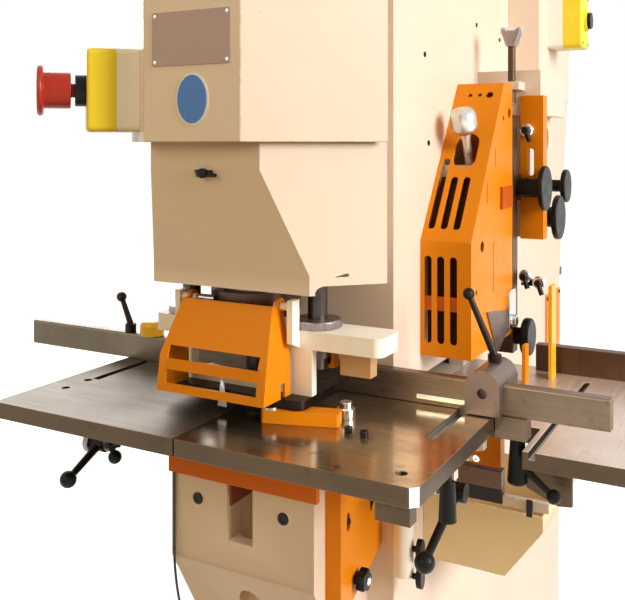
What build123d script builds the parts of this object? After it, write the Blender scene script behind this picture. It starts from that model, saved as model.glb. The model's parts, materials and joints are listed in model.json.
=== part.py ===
from build123d import *
from math import cos, radians, sin, tan
import os

# Hydraulic ironworker. Millimetres, +Z up, origin on the floor under the middle of the machine.
# +X runs from the punching end to the notching end, and the operator stands at -Y.
# Every height below is measured from the working face of the punching table.
# save() lifts the finished pieces by table_height, so that the machine stands on the floor.

os.makedirs("parts", exist_ok=True)

# Clearances, and how far a cutter or a welded piece runs past the face that it meets
running_fit = 0.06
seat_gap = 0.3
bore_gap = 0.5
overcut = 1.0

# Punching table
table_height = 950.0
table_front = -800.0
table_back = -512.0
table_half_width = 300.0
table_thickness = 21.0
table_split_y = 4.0
table_split_gap = 1.6
table_corner = 9.0
groove_start = 146.0
groove_inset = 42.0
groove_width = 12.0
groove_depth = 9.0
table_hole_radius = 6.0
left_hole_inset = 36.0
left_holes = (93.0, 137.0)
right_hole_inset = 30.0
right_holes = (32.0,)

# Body box
body_front = -510.0
body_half = 150.0
body_top = 750.0
body_end_low = 490.0
body_end_top = 640.0
side_plate = 25.0
front_plate = 20.0
roof_plate = 12.0

# Plinth
plinth_height = 90.0
plinth_margin = 60.0
plinth_half = 230.0
plinth_side = 20.0
plinth_wall = 12.0
flange_width = 40.0
flange_thickness = 15.0
anchor_radius = 11.0
anchor_inset = 30.0

# Upper arm and lower jaw of the punching throat
arm_half = 110.0
arm_front = -697.0
arm_nose_half = 66.0
arm_nose_length = 46.0
arm_bottom = 170.0
jaw_front = -665.0
jaw_depth = 216.0
jaw_root = -480.0
pocket_width = 40.0
pocket_depth = 60.0
pocket_top = -96.0
pocket_bottom = -177.0
rib_places = (150.0, 262.0)
rib_thickness = 14.0
rib_root_depth = 70.0
rib_tip_depth = 26.0
rib_tip_inset = 14.0

# Punch tooling on one vertical axis
punch_x = -625.0
cylinder_radius = 66.0
cylinder_head = 30.0
head_room = 40.0
ram_radius = 45.0
ram_top_gap = 20.0
ram_nut_radius = 60.0
ram_nut_bottom = 118.0
ram_nut_height = 34.0
ram_nut_chamfer = 6.0
punch_radius = 14.0
punch_collar = 12.0
punch_tip = 36.0
die_bore_radius = 14.6
die_radius = 28.0
die_height = 30.0
die_stand = 2.0
holder_radius = 52.0
holder_drop = 2.0
spigot_radius = 34.0
spigot_height = 58.0
slug_wall = 6.0
slug_radius = 22.0

# Head cover and ram cover
sheet = 3.0
nose_x = -771.0
nose_half = 71.0
cover_back = -642.0
cover_bottom = 345.0
cover_top = 690.0
cover_return = 26.0
ram_cover_nose_x = -745.0
ram_cover_nose_half = 81.0
ram_cover_left_angle = 35.0
ram_cover_toe_x = -702.0
ram_cover_slope_top = 312.0
ram_cover_slope_bottom = 185.0
ram_cover_bottom = 161.0
ram_cover_back = -632.0
ram_step_x = -697.0
ram_step_height = 11.0
ram_step_round = 9.0
nose_slot_width = 28.0
nose_slot_height = 9.0
edge_slot_back = 127.0
edge_slot_h = 184.0
edge_slot_length = 18.0
edge_slot_width = 4.5

# Emergency stop box on the head cover's left chamfer, and the panel box on the side housing
stop_box_along = 91.0
stop_box_h = 412.0
box_width = 66.0
box_height = 108.0
box_corner = 8.0
box_base_depth = 29.0
box_lid_depth = 37.0
box_lid_round = 5.0
stop_collar_radius = 20.5
stop_collar_length = 14.0
stop_stem_radius = 9.0
mushroom_radius = 33.0
mushroom_skirt_radius = 23.5
mushroom_skirt_length = 35.0
mushroom_rim = 8.0
mushroom_chamfer = 2.5
mushroom_travel = 5.0
panel_box_along = 92.0
panel_box_h = 584.0
panel_button_radius = 16.0
panel_ring_width = 4.0
panel_ring_height = 6.0
panel_button_length = 14.0
panel_button_sunk = 2.0

# Stripper
stud_y = 99.0
stud_x = -635.0
stud_radius = 12.5
stud_bottom = 58.0
stripper_top = 110.0
stripper_thickness = 23.0
stripper_front = -665.0
stripper_back = -605.0
stripper_inner_y = 74.0
stripper_right_end = 201.0
stripper_left_end = 140.0
stripper_corner = 12.0
stripper_leg_width = 33.0
stripper_leg_depth = 12.0
stripper_bridge_height = 18.0
stripper_foot_top = 29.0
stripper_foot_thickness = 12.0
stripper_foot_front = -690.0
stripper_foot_back = -590.0
stripper_foot_half = 107.0
stripper_foot_round = 14.0
stripper_foot_gap = 4.0
wheel_radius = 31.0
wheel_thickness = 11.0
wheel_chamfer = 1.5
lock_nut_height = 14.0
lock_nut_rim = 5.0

# Punch guard
guard_foot_x = -735.0
guard_knee_x = -728.0
guard_top_x = -695.0
guard_back_x = -671.0
guard_bottom = 30.0
guard_knee = 75.0
guard_top = 142.0
guard_half = 80.0
guard_top_half = 68.0
guard_hinge_x = -675.0
guard_hinge_h = 140.0
guard_pin_radius = 5.0
guard_eye_wall = 5.0
guard_slots = ((10.0, 27.0), (40.0, 56.0))
guard_slot_margin = 12.0
guard_notch_width = 10.0
guard_notch_height = 18.0
guard_notch_inset = 24.0
lug_gap = 2.0
lug_thickness = 8.0
lug_reach = 9.0

# Fence across the table, its clamps and the stop block on it
fence_front = -535.0
fence_thickness = 18.0
fence_height = 39.0
fence_left_reach = 210.0
fence_right_reach = 140.0
fence_edge = 2.0
fence_knob_radius = 19.0
fence_knob_height = 22.0
fence_knob_round = 8.0
fence_lever_reach = 2.0
lever_hub_radius = 9.0
lever_hub_height = 14.0
lever_radius = 4.0
lever_ball_radius = 8.0
lever_taper = 1.25
lever_root_drop = 2.0
fence_lever_end = (-6.0, 14.0, 56.0)
stop_lever_end = (-4.0, 34.0, 86.0)
stop_lever_back = 20.0
stop_block_inset = 12.0
stop_block_width = 45.0
stop_block_height = 56.0
stop_block_front = -552.0
stop_block_back = -468.0
stop_block_lift = 2.0
stop_bore_radius = 6.5
stop_bore_h = 29.0
stop_bore_depth = 12.0
stop_stem_depth = 15.0
shoe_length = 40.0
shoe_depth = 27.0
shoe_lip = 4.0
grip_length = 58.0
grip_top_radius = 9.0
grip_end_radius = 13.0
clamp_arm_drop = 31.0
clamp_arm_end = (45.0, 66.0)
clamp_arm_ball = 9.0

# Clamp bar on the table, with its bolt
clamp_start = (-692.0, -53.0)
clamp_end = (-663.0, -146.0)
clamp_width = 26.0
clamp_height = 16.0
clamp_bolt_x = -634.0
clamp_bolt_y = -139.0
clamp_bolt_radius = 12.0
clamp_bolt_height = 12.0
clamp_head_radius = 8.0
clamp_head_height = 8.0

# Pieces below the punching table
strip_thickness = 8.0
strip_top = -55.0
strip_bottom = -100.0
strip_reach = 8.0
side_cover_front = -635.0
side_cover_back = -479.0
side_cover_depth = 22.0
side_cover_top = -92.0
side_cover_heel = -196.0
side_cover_bottom = -250.0
side_cover_heel_run = 128.0
side_cover_slots = (22.0, 92.0)
side_cover_slot_h = -141.0
side_cover_slot_length = 24.0
side_cover_slot_width = 8.0
cover_knob_x = -591.0
cover_knob_h = -222.0
cover_knob_radius = 15.0
cover_knob_length = 20.0
hanger_thickness = 12.0
hanger_width = 19.0
hand_lever_hub = 12.0
hand_lever_pin = 5.0
hand_lever_rod = 5.0
hand_lever_ball = 12.0
right_lever_inset = 50.0
right_lever_pivot = (-572.0, -91.0)
right_lever_end = (-682.0, -132.0)
left_lever_inset = 38.0
left_lever_pivot = (-626.0, -104.0)
left_lever_end = (-692.0, -136.0)

# Lead clipped along the jaw's left front corner
lead_radius = 1.75
lead_y = 104.0
lead_stand = 3.2
lead_turn_h = -275.0
lead_end_h = -503.0
lead_reach = 38.0
lead_bend_share = 0.45

# Shear station on the operator's side
shear_table_h = -30.0
shear_table_front = -562.0
shear_table_back = -160.0
shear_table_thickness = 22.0
shear_table_gap = 41.0
shear_table_reach = 210.0
shear_table_neck = 40.0
shear_groove_stop = 60.0
shear_groove_width = 8.0
window_front = -385.0
window_back = -215.0
window_height = 30.0
shear_guard_depth = 78.0
shear_guard_front = -411.0
shear_guard_back = -197.0
shear_guard_bottom = 31.0
shear_guard_knee = 200.0
shear_guard_top = 440.0
shear_guard_top_front = -244.0
guard_vents = (-162.0, -181.5, -201.0)
guard_vent_width = 11.5
front_vent_low = 50.0
front_vent_high = 178.0
slope_vent_low = 0.07
slope_vent_high = (0.50, 0.385, 0.385)
guard_side_holes = (((586, 392), 8.0), ((441, 189), 8.5), ((413, 125), 4.0), ((551, 383), 4.0))
guard_top_holes = ((-176.0, 3.5), (-192.0, 3.5), (-208.0, 6.0))
guard_top_holes_share = 0.92
hold_down_x = -304.0
hold_down_h = 312.0
hold_down_y = -190.0
hold_down_tilt = 23.5
hold_down_length = 66.0
hold_down_spindle = 7.0
hold_down_knob_radius = 21.0
hold_down_knob_height = 42.0
hold_down_knob_chamfer = 3.0
hold_down_notch_radius = 18.0
hold_down_notch_share = (0.44, 0.66)
hold_down_lug_width = 44.0
hold_down_lug_depth = 64.0
hold_down_lug_height = 80.0

# Feed guides on the shear table
guide_bar = (-187.0, -167.0, -480.0, -264.0, 43.0)
guide_strap = (-277.0, -257.0, -271.0, -265.0, 60.0)
guide_blade = (-232.0, -205.0, -301.0, -295.0, 148.0)

# Section shear above the flat shear. Each knob size is shank radius and length, disc radius and depth.
section_x = 0.0
section_h = 350.0
section_bore = 26.0
section_block_front = -113.0
section_block_back = 40.0
section_block_depth = 85.0
section_block_bottom = 180.0
section_block_top = 391.0
bracket_reach = 24.0
bracket_back = 50.0
bracket_depth = 110.0
bracket_height = 77.0
screw_lug_reach = 34.0
screw_lug_y = (-232.0, -198.0)
screw_lug_h = (42.0, 56.0)
t_screw_radius = 6.5
t_screw_length = 124.0
t_screw_low = 20.0
t_bar_half = 18.0
t_bar_radius = 6.0
rail_x = -193.0
rail_width = 28.0
rail_depth = 78.0
rail_bottom = -5.0
rail_top = 385.0
rail_arm = (24.0, 12.0, 246.0, 290.0)
section_guard_y = (-262.0, -226.0)
section_guard_rise = 33.0
section_guard_slot = (311.0, 46.0, 10.0)
knob_round_share = 0.3
knob_upper_size = (16.0, 40.0, 37.5, 8.0)
knob_lower_size = (18.0, 32.0, 39.0, 10.0)
knob_rear_size = (11.0, 34.0, 30.0, 9.0)
shear_knob_size = (14.0, 14.0, 31.0, 14.0)
knob_upper_place = (-158.0, 268.0)
knob_lower_place = (-60.0, 212.0)
knob_rear_place = (-7.0, 265.0)
shear_knob_h = 22.0
cam_inset = 3.0
cam_width = 38.0
cam_height = 64.0
cam_low = 42.0
cam_thickness = 7.0
cam_round = 9.0
cam_pin_radius = 9.0
cam_pin_h = 56.0

# Offcut chute below the flat shear
chute_front = -398.0
chute_back = -180.0
chute_top = -177.0
chute_lip_y = -327.0
chute_lip = 22.0
chute_floor = -272.0
chute_floor_y = -273.0

# Moving shear beam between the side plates, its blades and its cylinder
beam_front = -440.0
beam_back = 180.0
beam_half = 28.0
beam_bottom = 40.0
beam_top = 440.0
pad_length = 40.0
pad_inset = 4.0
pad_low = 80.0
pad_high = 420.0
blade_thickness = 12.0
blade_height = 40.0
upper_blade_height = 56.0
blade_seat_depth = 20.0
blade_seat_margin = 15.0
blade_open = 2.0
shear_cylinder_x = -100.0
shear_cylinder_radius = 60.0
shear_cylinder_gap = 40.0
shear_rod_radius = 28.0
shear_rod_room = 20.0

# Upper side housing
housing_front = 56.0
housing_back = 310.0
housing_depth = 62.0
housing_bottom = 430.0
housing_top = 710.0
housing_edge = 4.0

# Notching end
notch_x = 680.0
notch_half = 84.0
notch_arm_bottom = 170.0
notch_arm_end = 760.0
notch_arm_nose = 550.0
notch_arm_shoulder = 630.0
notch_jaw_end = 770.0
notch_jaw_depth = 150.0
notch_jaw_root = -390.0
notch_table_end = 818.0
notch_ram_radius = 36.0
notch_ram_length = 300.0
notch_ram_reach = 20.0
notch_bore_room = 40.0
notch_tool_half = 40.0
notch_tool_bottom = 40.0
notch_tool_clear = 1.0
notch_die_floor = 4.0

# Levels and planes that follow from the sizes above
floor = -table_height
jaw_top = -table_thickness
inner_half = body_half - side_plate
groove_y = table_half_width - groove_inset
left_hole_y = table_half_width - left_hole_inset
right_hole_y = right_hole_inset - table_half_width
fence_left_end = table_half_width + fence_left_reach
fence_right_end = -table_half_width - fence_right_reach
fence_lever_y = table_half_width + fence_lever_reach
stop_block_y = stop_block_inset - table_half_width
left_lever_y = table_half_width - left_lever_inset
right_lever_y = right_lever_inset - table_half_width
shear_table_inner = -table_half_width - shear_table_gap
shear_table_outer = -table_half_width - shear_table_reach
wall_y = -body_half
barrel_top = cover_top - 2 * sheet - head_room
fence_back = fence_front + fence_thickness
fence_mid = (fence_front + fence_back) / 2
fence_low = seat_gap
fence_top = fence_low + fence_height
shear_guard_y = wall_y - shear_guard_depth
block_face_y = wall_y - section_block_depth


def block(x0, x1, y0, y1, z0, z1):
    """A box between two corners."""
    centre = Pos((x0 + x1) / 2, (y0 + y1) / 2, (z0 + z1) / 2)
    return centre * Box(x1 - x0, y1 - y0, z1 - z0)


def post(x, y, z0, z1, radius):
    """A round bar along Z."""
    return Pos(x, y, (z0 + z1) / 2) * Cylinder(radius, z1 - z0)


def bar_y(x, z, y0, y1, radius):
    """A round bar along Y."""
    return Pos(x, (y0 + y1) / 2, z) * Rot(90, 0, 0) * Cylinder(radius, y1 - y0)


def bar_x(y, z, x0, x1, radius):
    """A round bar along X."""
    return Pos((x0 + x1) / 2, y, z) * Rot(0, 90, 0) * Cylinder(radius, x1 - x0)


def side_profile(points, y0, y1):
    """A prism across the machine, from points (x, z)."""
    plane = Plane(origin=(0, y1, 0), x_dir=(1, 0, 0), z_dir=(0, -1, 0))
    return extrude(plane * Polygon(*points, align=None), y1 - y0, dir=(0, -1, 0))


def plan_profile(points, z0, z1):
    """An upright prism, from points (x, y)."""
    return extrude(Plane.XY.offset(z0) * Polygon(*points, align=None), z1 - z0, dir=(0, 0, 1))


def front_profile(points, x0, x1):
    """A prism along the machine, from points (y, z)."""
    plane = Plane(origin=(x0, 0, 0), x_dir=(0, 1, 0), z_dir=(1, 0, 0))
    return extrude(plane * Polygon(*points, align=None), x1 - x0, dir=(1, 0, 0))


def ball_lever(start, end, rod_radius, ball_radius):
    """A clamping lever, turned in one piece: tapered rod with a ball on its end."""
    line = Vector(*end) - Vector(*start)
    across = Plane(origin=start, z_dir=line.normalized())
    side = Plane(origin=start, x_dir=across.x_dir, z_dir=-across.y_dir)
    neck = (rod_radius, line.length - (ball_radius**2 - rod_radius**2) ** 0.5)
    root = (rod_radius * lever_taper, 0)
    tip = (0, line.length + ball_radius)
    outline = Line((0, 0), root) + Line(root, neck)
    outline += ThreePointArc(neck, (ball_radius, line.length), tip)
    outline += Line(tip, (0, 0))
    return revolve(make_face(side * outline), axis=Axis(start, line.normalized()))


def save(name, *solids):
    """Writes one named piece, which may hold several like solids, at its height over the floor."""
    lifted = [Pos(0, 0, table_height) * solid for solid in solids]
    shape = lifted[0] if len(lifted) == 1 else Compound(children=lifted)
    export_step(shape, f"parts/{name}.step")


def body_end(height):
    """X of the sloping notching end at a height."""
    share = height / body_top
    return body_end_low + (body_end_top - body_end_low) * max(0.0, share)


def arm_plan():
    """Plan of the upper arm: its nose is narrower."""
    shoulder = arm_front + arm_nose_length
    return [
        (arm_front, -arm_nose_half),
        (shoulder, -arm_half),
        (body_front, -arm_half),
        (body_front, arm_half),
        (shoulder, arm_half),
        (arm_front, arm_nose_half),
    ]


def make_frame():
    """Welded frame: body box, upper arm, lower jaw and the notching arm."""
    base = floor + plinth_height
    outline = [
        (body_front, base),
        (body_end_low, base),
        (body_end_low, 0),
        (body_end_top, body_top),
        (body_front, body_top),
    ]
    inner_front = body_front + front_plate
    inner_end = body_end_low - front_plate
    ceiling = body_top - roof_plate
    inner = [
        (inner_front, base + front_plate),
        (inner_end, base + front_plate),
        (inner_end, 0),
        (body_end(ceiling) - front_plate, ceiling),
        (inner_front, ceiling),
    ]
    body = side_profile(outline, -body_half, body_half)
    body -= side_profile(inner, -inner_half, inner_half)
    body += plan_profile(arm_plan(), arm_bottom, cover_top - sheet)
    jaw_outline = [
        (jaw_front, jaw_top),
        (jaw_front, -jaw_depth),
        (body_front, jaw_root),
        (body_front, jaw_top),
    ]
    body += side_profile(jaw_outline, -arm_half, arm_half)
    body += notch_end()
    body -= post(punch_x, 0, arm_bottom - overcut, barrel_top, cylinder_radius + bore_gap)
    body -= post(punch_x, 0, jaw_top - spigot_height, jaw_top + overcut, spigot_radius + running_fit)
    body -= post(punch_x, 0, jaw_root, jaw_top, slug_radius)
    pocket_back = jaw_front + pocket_depth
    half = pocket_width / 2
    body -= block(jaw_front - overcut, pocket_back, -half, half, pocket_bottom, pocket_top)
    window_top = shear_table_h + window_height
    through = body_half + overcut
    body -= block(window_front, window_back, -through, through, shear_table_h, window_top)
    body -= bar_y(section_x, section_h, -through, through, section_bore)
    body += beam_supports()
    body += table_ribs()
    return body


def beam_supports():
    """Guide pads, blade seats and the hold-down lug welded to the side plates."""
    pads = []
    pad_fronts = (beam_front + pad_inset, beam_back - pad_inset - pad_length)
    for side in (-1, 1):
        y0, y1 = sorted((side * (beam_half + seat_gap), side * inner_half))
        for x in pad_fronts:
            pads.append(block(x, x + pad_length, y0, y1, pad_low, pad_high))
    seat_low = shear_table_h - blade_height - blade_seat_depth
    blade_face = -beam_half - 2 * blade_thickness - seat_gap
    x0 = window_front - blade_seat_margin
    x1 = window_back + blade_seat_margin
    pads.append(block(x0, x1, -inner_half, blade_face, seat_low, shear_table_h))
    pads.append(block(x0, x1, beam_half + blade_seat_depth, inner_half, seat_low, shear_table_h))
    half = hold_down_lug_width / 2
    lug_top = hold_down_h - hold_down_spindle * sin(radians(hold_down_tilt)) - seat_gap
    lug_outer = wall_y - hold_down_lug_depth
    lug_low = lug_top - hold_down_lug_height
    pads.append(block(hold_down_x - half, hold_down_x + half, lug_outer, wall_y, lug_low, lug_top))
    return pads


def table_ribs():
    """Ribs under the table, deep at the jaw and shallow at the edge."""
    ribs = []
    for side in (-1, 1):
        for place in rib_places:
            x = table_front + place
            root = side * (arm_half - overcut)
            tip = side * (table_half_width - rib_tip_inset)
            low_tip = jaw_top - rib_tip_depth
            low_root = jaw_top - rib_root_depth
            points = [(root, jaw_top), (tip, jaw_top), (tip, low_tip), (root, low_root)]
            ribs.append(front_profile(points, x, x + rib_thickness))
    return ribs


def lever_hanger(pivot, y, side):
    """Hanger under a table plate, with the bore for a hand lever's pin."""
    x, height = pivot
    y0, y1 = sorted((y, y - side * hanger_thickness))
    half = hanger_width / 2
    plate = block(x - half, x + half, y0, y1, height, jaw_top)
    plate += bar_y(x, height, y0, y1, half)
    return plate - bar_y(x, height, y - hanger_width, y + hanger_width, hand_lever_pin + running_fit)


def notch_end():
    """Upper arm and lower jaw of the notching throat."""
    root_x = body_end_low - front_plate
    arm_outline = [
        (body_end(notch_arm_bottom) - front_plate, notch_arm_bottom),
        (notch_arm_end, notch_arm_bottom),
        (notch_arm_end, notch_arm_nose),
        (body_end(notch_arm_shoulder) - front_plate, notch_arm_shoulder),
    ]
    jaw_outline = [
        (root_x, notch_jaw_root),
        (notch_jaw_end, jaw_top - notch_jaw_depth),
        (notch_jaw_end, jaw_top),
        (root_x, jaw_top),
    ]
    arm = side_profile(arm_outline, -notch_half, notch_half)
    bore_top = notch_arm_bottom - notch_ram_reach + notch_ram_length + notch_bore_room
    arm -= post(notch_x, 0, notch_arm_bottom - overcut, bore_top, notch_ram_radius + running_fit)
    return arm + side_profile(jaw_outline, -notch_half, notch_half)


def make_plinth():
    """Base box with outward flanges and four anchor holes."""
    x0 = body_front - plinth_margin
    x1 = body_end_low + plinth_margin
    box_x0 = x0 + flange_width
    box_x1 = x1 - flange_width
    half = body_half + plinth_side
    top = floor + plinth_height
    flange_top = floor + flange_thickness
    plinth = block(box_x0, box_x1, -half, half, floor, top)
    plinth += block(x0, x1, -plinth_half, plinth_half, floor, flange_top)
    wall = plinth_wall
    inner = half - wall
    plinth -= block(box_x0 + wall, box_x1 - wall, -inner, inner, floor - overcut, top - wall)
    for x in (x0 + anchor_inset, x1 - anchor_inset):
        for y in (-plinth_half + anchor_inset, plinth_half - anchor_inset):
            plinth -= post(x, y, floor - overcut, flange_top + overcut, anchor_radius)
    return plinth


def chamfer_plan(front, front_half, back, back_half, inset):
    """Plan of a chamfered nose, moved inwards by a wall."""
    run = back - front
    rise = back_half - front_half
    slant = (run**2 + rise**2) ** 0.5
    shift = inset * slant / run
    half_front = front_half + rise * inset / run - shift
    return [
        (front + inset, -half_front),
        (back, -back_half + shift),
        (back, back_half - shift),
        (front + inset, half_front),
    ]


def make_head_cover():
    """Sheet cover over the punching head, open at the back and bottom."""
    back_half = nose_half + (cover_back - nose_x)
    outline = chamfer_plan(nose_x, nose_half, cover_back, back_half, 0)
    hollow = chamfer_plan(nose_x, nose_half, cover_back, back_half, sheet)
    cover = plan_profile(outline, cover_bottom, cover_top)
    cover -= plan_profile(hollow, cover_bottom - overcut, cover_top - sheet)
    for side in (-1, 1):
        y0, y1 = sorted((side * (back_half - cover_return), side * (back_half - sheet)))
        cover += block(cover_back - sheet, cover_back, y0, y1, cover_bottom, cover_top)
    return cover


def ram_cover_form(inset, bottom, top, reach):
    """Outer or inner form of the ram cover: a sloping nose cut by two slanted sides."""
    back = ram_cover_back + reach
    slope_drop = inset / 3
    toe_x = ram_cover_toe_x + inset
    nose = ram_cover_nose_x + inset
    slope = [
        (nose, top),
        (nose, ram_cover_slope_top - slope_drop),
        (toe_x, ram_cover_slope_bottom - slope_drop),
        (toe_x, bottom),
        (back, bottom),
        (back, top),
    ]
    run = back - ram_cover_nose_x
    right_half = ram_cover_nose_half - inset * 2**0.5
    left_slope = tan(radians(ram_cover_left_angle))
    left_half = ram_cover_nose_half - inset / cos(radians(ram_cover_left_angle))
    plan = [
        (ram_cover_nose_x, -right_half),
        (back, -right_half - run),
        (back, left_half + run * left_slope),
        (ram_cover_nose_x, left_half),
    ]
    far = table_half_width
    return side_profile(slope, -far, far) & plan_profile(plan, bottom, top)


def make_ram_cover():
    """Lower sheet cover with a sloping front, hung from its top plate on the arm."""
    cover = ram_cover_form(0, ram_cover_bottom, cover_bottom, 0)
    cover -= ram_cover_form(sheet, ram_cover_bottom - overcut, cover_bottom - sheet, overcut)
    cover -= plan_profile(arm_plan(), cover_bottom - 2 * sheet, cover_bottom + overcut)
    far = table_half_width
    step_top = ram_cover_bottom + ram_step_height
    step_low = ram_cover_bottom - ram_step_round
    step = block(ram_step_x, ram_cover_back + overcut, -far, -arm_half, step_low, step_top)
    step_edge = step.edges().filter_by(Axis.Y).group_by(Axis.Z)[-1].sort_by(Axis.X)[0]
    cover -= fillet(step_edge, ram_step_round)
    half = nose_slot_width / 2
    slot_top = ram_cover_slope_top - overcut
    nose = ram_cover_nose_x
    cover -= block(nose - overcut, nose + 3 * sheet, -half, half, slot_top - nose_slot_height, slot_top)
    place = edge_slot_back + table_front
    side_y = -(ram_cover_nose_half + place - ram_cover_nose_x)
    plane = Plane(origin=(place, side_y, edge_slot_h), x_dir=(1, -1, 0), z_dir=(-1, -1, 0))
    cover -= extrude(plane * SlotOverall(edge_slot_length, edge_slot_width), 2 * sheet, both=True)
    return cover


def stop_box_plane():
    """Plane on the head cover's left chamfer, normal outwards."""
    along = Vector(1, 1, 0).normalized()
    corner = Vector(nose_x, nose_half, stop_box_h)
    return Plane(origin=corner + along * stop_box_along, x_dir=along, z_dir=(-1, 1, 0))


def push_box(plane):
    """Base and lid of a push-button box on a plane, and the plane of the lid's face."""
    outline = RectangleRounded(box_width, box_height, box_corner)
    base = extrude(plane * outline, box_base_depth)
    lid = extrude(plane.offset(box_base_depth) * outline, box_lid_depth)
    front = lid.faces().sort_by(Axis(plane.origin, plane.z_dir))[-1]
    lid = fillet(front.edges(), box_lid_round)
    return base, lid, plane.offset(box_base_depth + box_lid_depth)


def make_stop_box():
    """Emergency stop: box, collar and mushroom button with its stem."""
    base, lid, face = push_box(stop_box_plane())
    bore = stop_stem_radius + running_fit
    collar = extrude(face * (Circle(stop_collar_radius) - Circle(bore)), stop_collar_length)
    lift = mushroom_travel + seat_gap
    skirt_plane = face.offset(stop_collar_length + lift)
    stem = extrude(face.offset(lift) * Circle(stop_stem_radius), stop_collar_length + overcut)
    skirt = extrude(skirt_plane * Circle(mushroom_skirt_radius), mushroom_skirt_length)
    rim_plane = skirt_plane.offset(mushroom_skirt_length - overcut)
    rim = extrude(rim_plane * Circle(mushroom_radius), mushroom_rim)
    rim = chamfer(rim.edges(), mushroom_chamfer)
    save("stop_base", base)
    save("stop_lid", lid)
    save("stop_collar", collar)
    save("stop_mushroom", stem + skirt + rim)


def make_panel_box():
    """Push-button box on the side housing, with a flat button in a ring."""
    origin = (housing_front + panel_box_along, wall_y - housing_depth, panel_box_h)
    base, lid, face = push_box(Plane(origin=origin, x_dir=(1, 0, 0), z_dir=(0, -1, 0)))
    bore = panel_button_radius + running_fit
    ring = Circle(panel_button_radius + panel_ring_width) - Circle(bore)
    lid -= extrude(face * Circle(bore), -panel_ring_height)
    lid += extrude(face * ring, panel_ring_height)
    button_plane = face.offset(seat_gap - panel_button_sunk)
    save("panel_base", base)
    save("panel_lid", lid)
    save("panel_button", extrude(button_plane * Circle(panel_button_radius), panel_button_length))


def make_punch_tooling():
    """Cylinder in the arm, ram, nut, punch, die and die holder."""
    bore_floor = barrel_top - cylinder_head
    barrel = post(punch_x, 0, arm_bottom, barrel_top, cylinder_radius)
    barrel -= post(punch_x, 0, arm_bottom - overcut, bore_floor, ram_radius + running_fit)
    nut_top = ram_nut_bottom + ram_nut_height
    ram = post(punch_x, 0, nut_top, bore_floor - ram_top_gap, ram_radius)
    nut = post(punch_x, 0, ram_nut_bottom, nut_top, ram_nut_radius)
    nut = chamfer(nut.edges().sort_by(Axis.Z)[0], ram_nut_chamfer)
    collar_low = ram_nut_bottom - punch_collar
    punch = post(punch_x, 0, collar_low, ram_nut_bottom, punch_radius + punch_collar)
    punch += post(punch_x, 0, punch_tip, collar_low, punch_radius)
    holder_top = -holder_drop
    spigot_low = jaw_top - spigot_height
    pocket_floor = holder_top - die_height
    holder = post(punch_x, 0, jaw_top, holder_top, holder_radius)
    holder += post(punch_x, 0, spigot_low, jaw_top, spigot_radius)
    holder -= post(punch_x, 0, pocket_floor, holder_top + overcut, die_radius + running_fit)
    holder -= post(punch_x, 0, spigot_low - overcut, holder_top, die_bore_radius + slug_wall)
    die = post(punch_x, 0, pocket_floor, die_stand, die_radius)
    die -= post(punch_x, 0, pocket_floor - overcut, die_stand + overcut, die_bore_radius)
    save("punch_cylinder", barrel)
    save("punch_ram", ram)
    save("ram_nut", nut)
    save("punch", punch)
    save("die_holder", holder)
    save("die", die)


def stripper_side(side, outer):
    """One side of the cast stripper: wing, leg, hinge lug and the stud's bore."""
    low = stripper_top - stripper_thickness
    y0, y1 = sorted((side * stripper_inner_y, side * outer))
    wing = block(stripper_front, stripper_back, y0, y1, low, stripper_top)
    corners = wing.edges().filter_by(Axis.Z).sort_by(Axis.Y)
    wing = fillet(corners[:2] if side < 0 else corners[-2:], stripper_corner)
    leg_end = stripper_inner_y + stripper_leg_width
    leg_back = stripper_front + stripper_leg_depth
    y0, y1 = sorted((side * stripper_inner_y, side * leg_end))
    wing += block(stripper_front, leg_back, y0, y1, stripper_foot_top, low)
    bore = stud_radius + running_fit
    wing -= post(stud_x, side * stud_y, low - overcut, stripper_top + overcut, bore)
    return wing + hinge_lug(side)


def hinge_lug(side):
    """Lug on the stripper with the stub pin that the guard swings on."""
    lug_in = side * (guard_half + lug_gap)
    lug_out = side * (guard_half + lug_gap + lug_thickness)
    low = stripper_top - stripper_thickness + overcut
    front = guard_hinge_x - lug_reach
    back = guard_hinge_x + lug_reach
    top = guard_hinge_h + lug_reach
    outline = [
        (front, low + lug_thickness),
        (stripper_front, low),
        (stripper_front + lug_thickness, low),
        (stripper_front + lug_thickness, stripper_top),
        (back, stripper_top),
        (back, top),
        (front, top),
    ]
    lug = side_profile(outline, *sorted((lug_in, lug_out)))
    y0, y1 = sorted((side * (guard_top_half - lug_thickness), lug_in))
    return lug + bar_y(guard_hinge_x, guard_hinge_h, y0, y1, guard_pin_radius)


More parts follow.
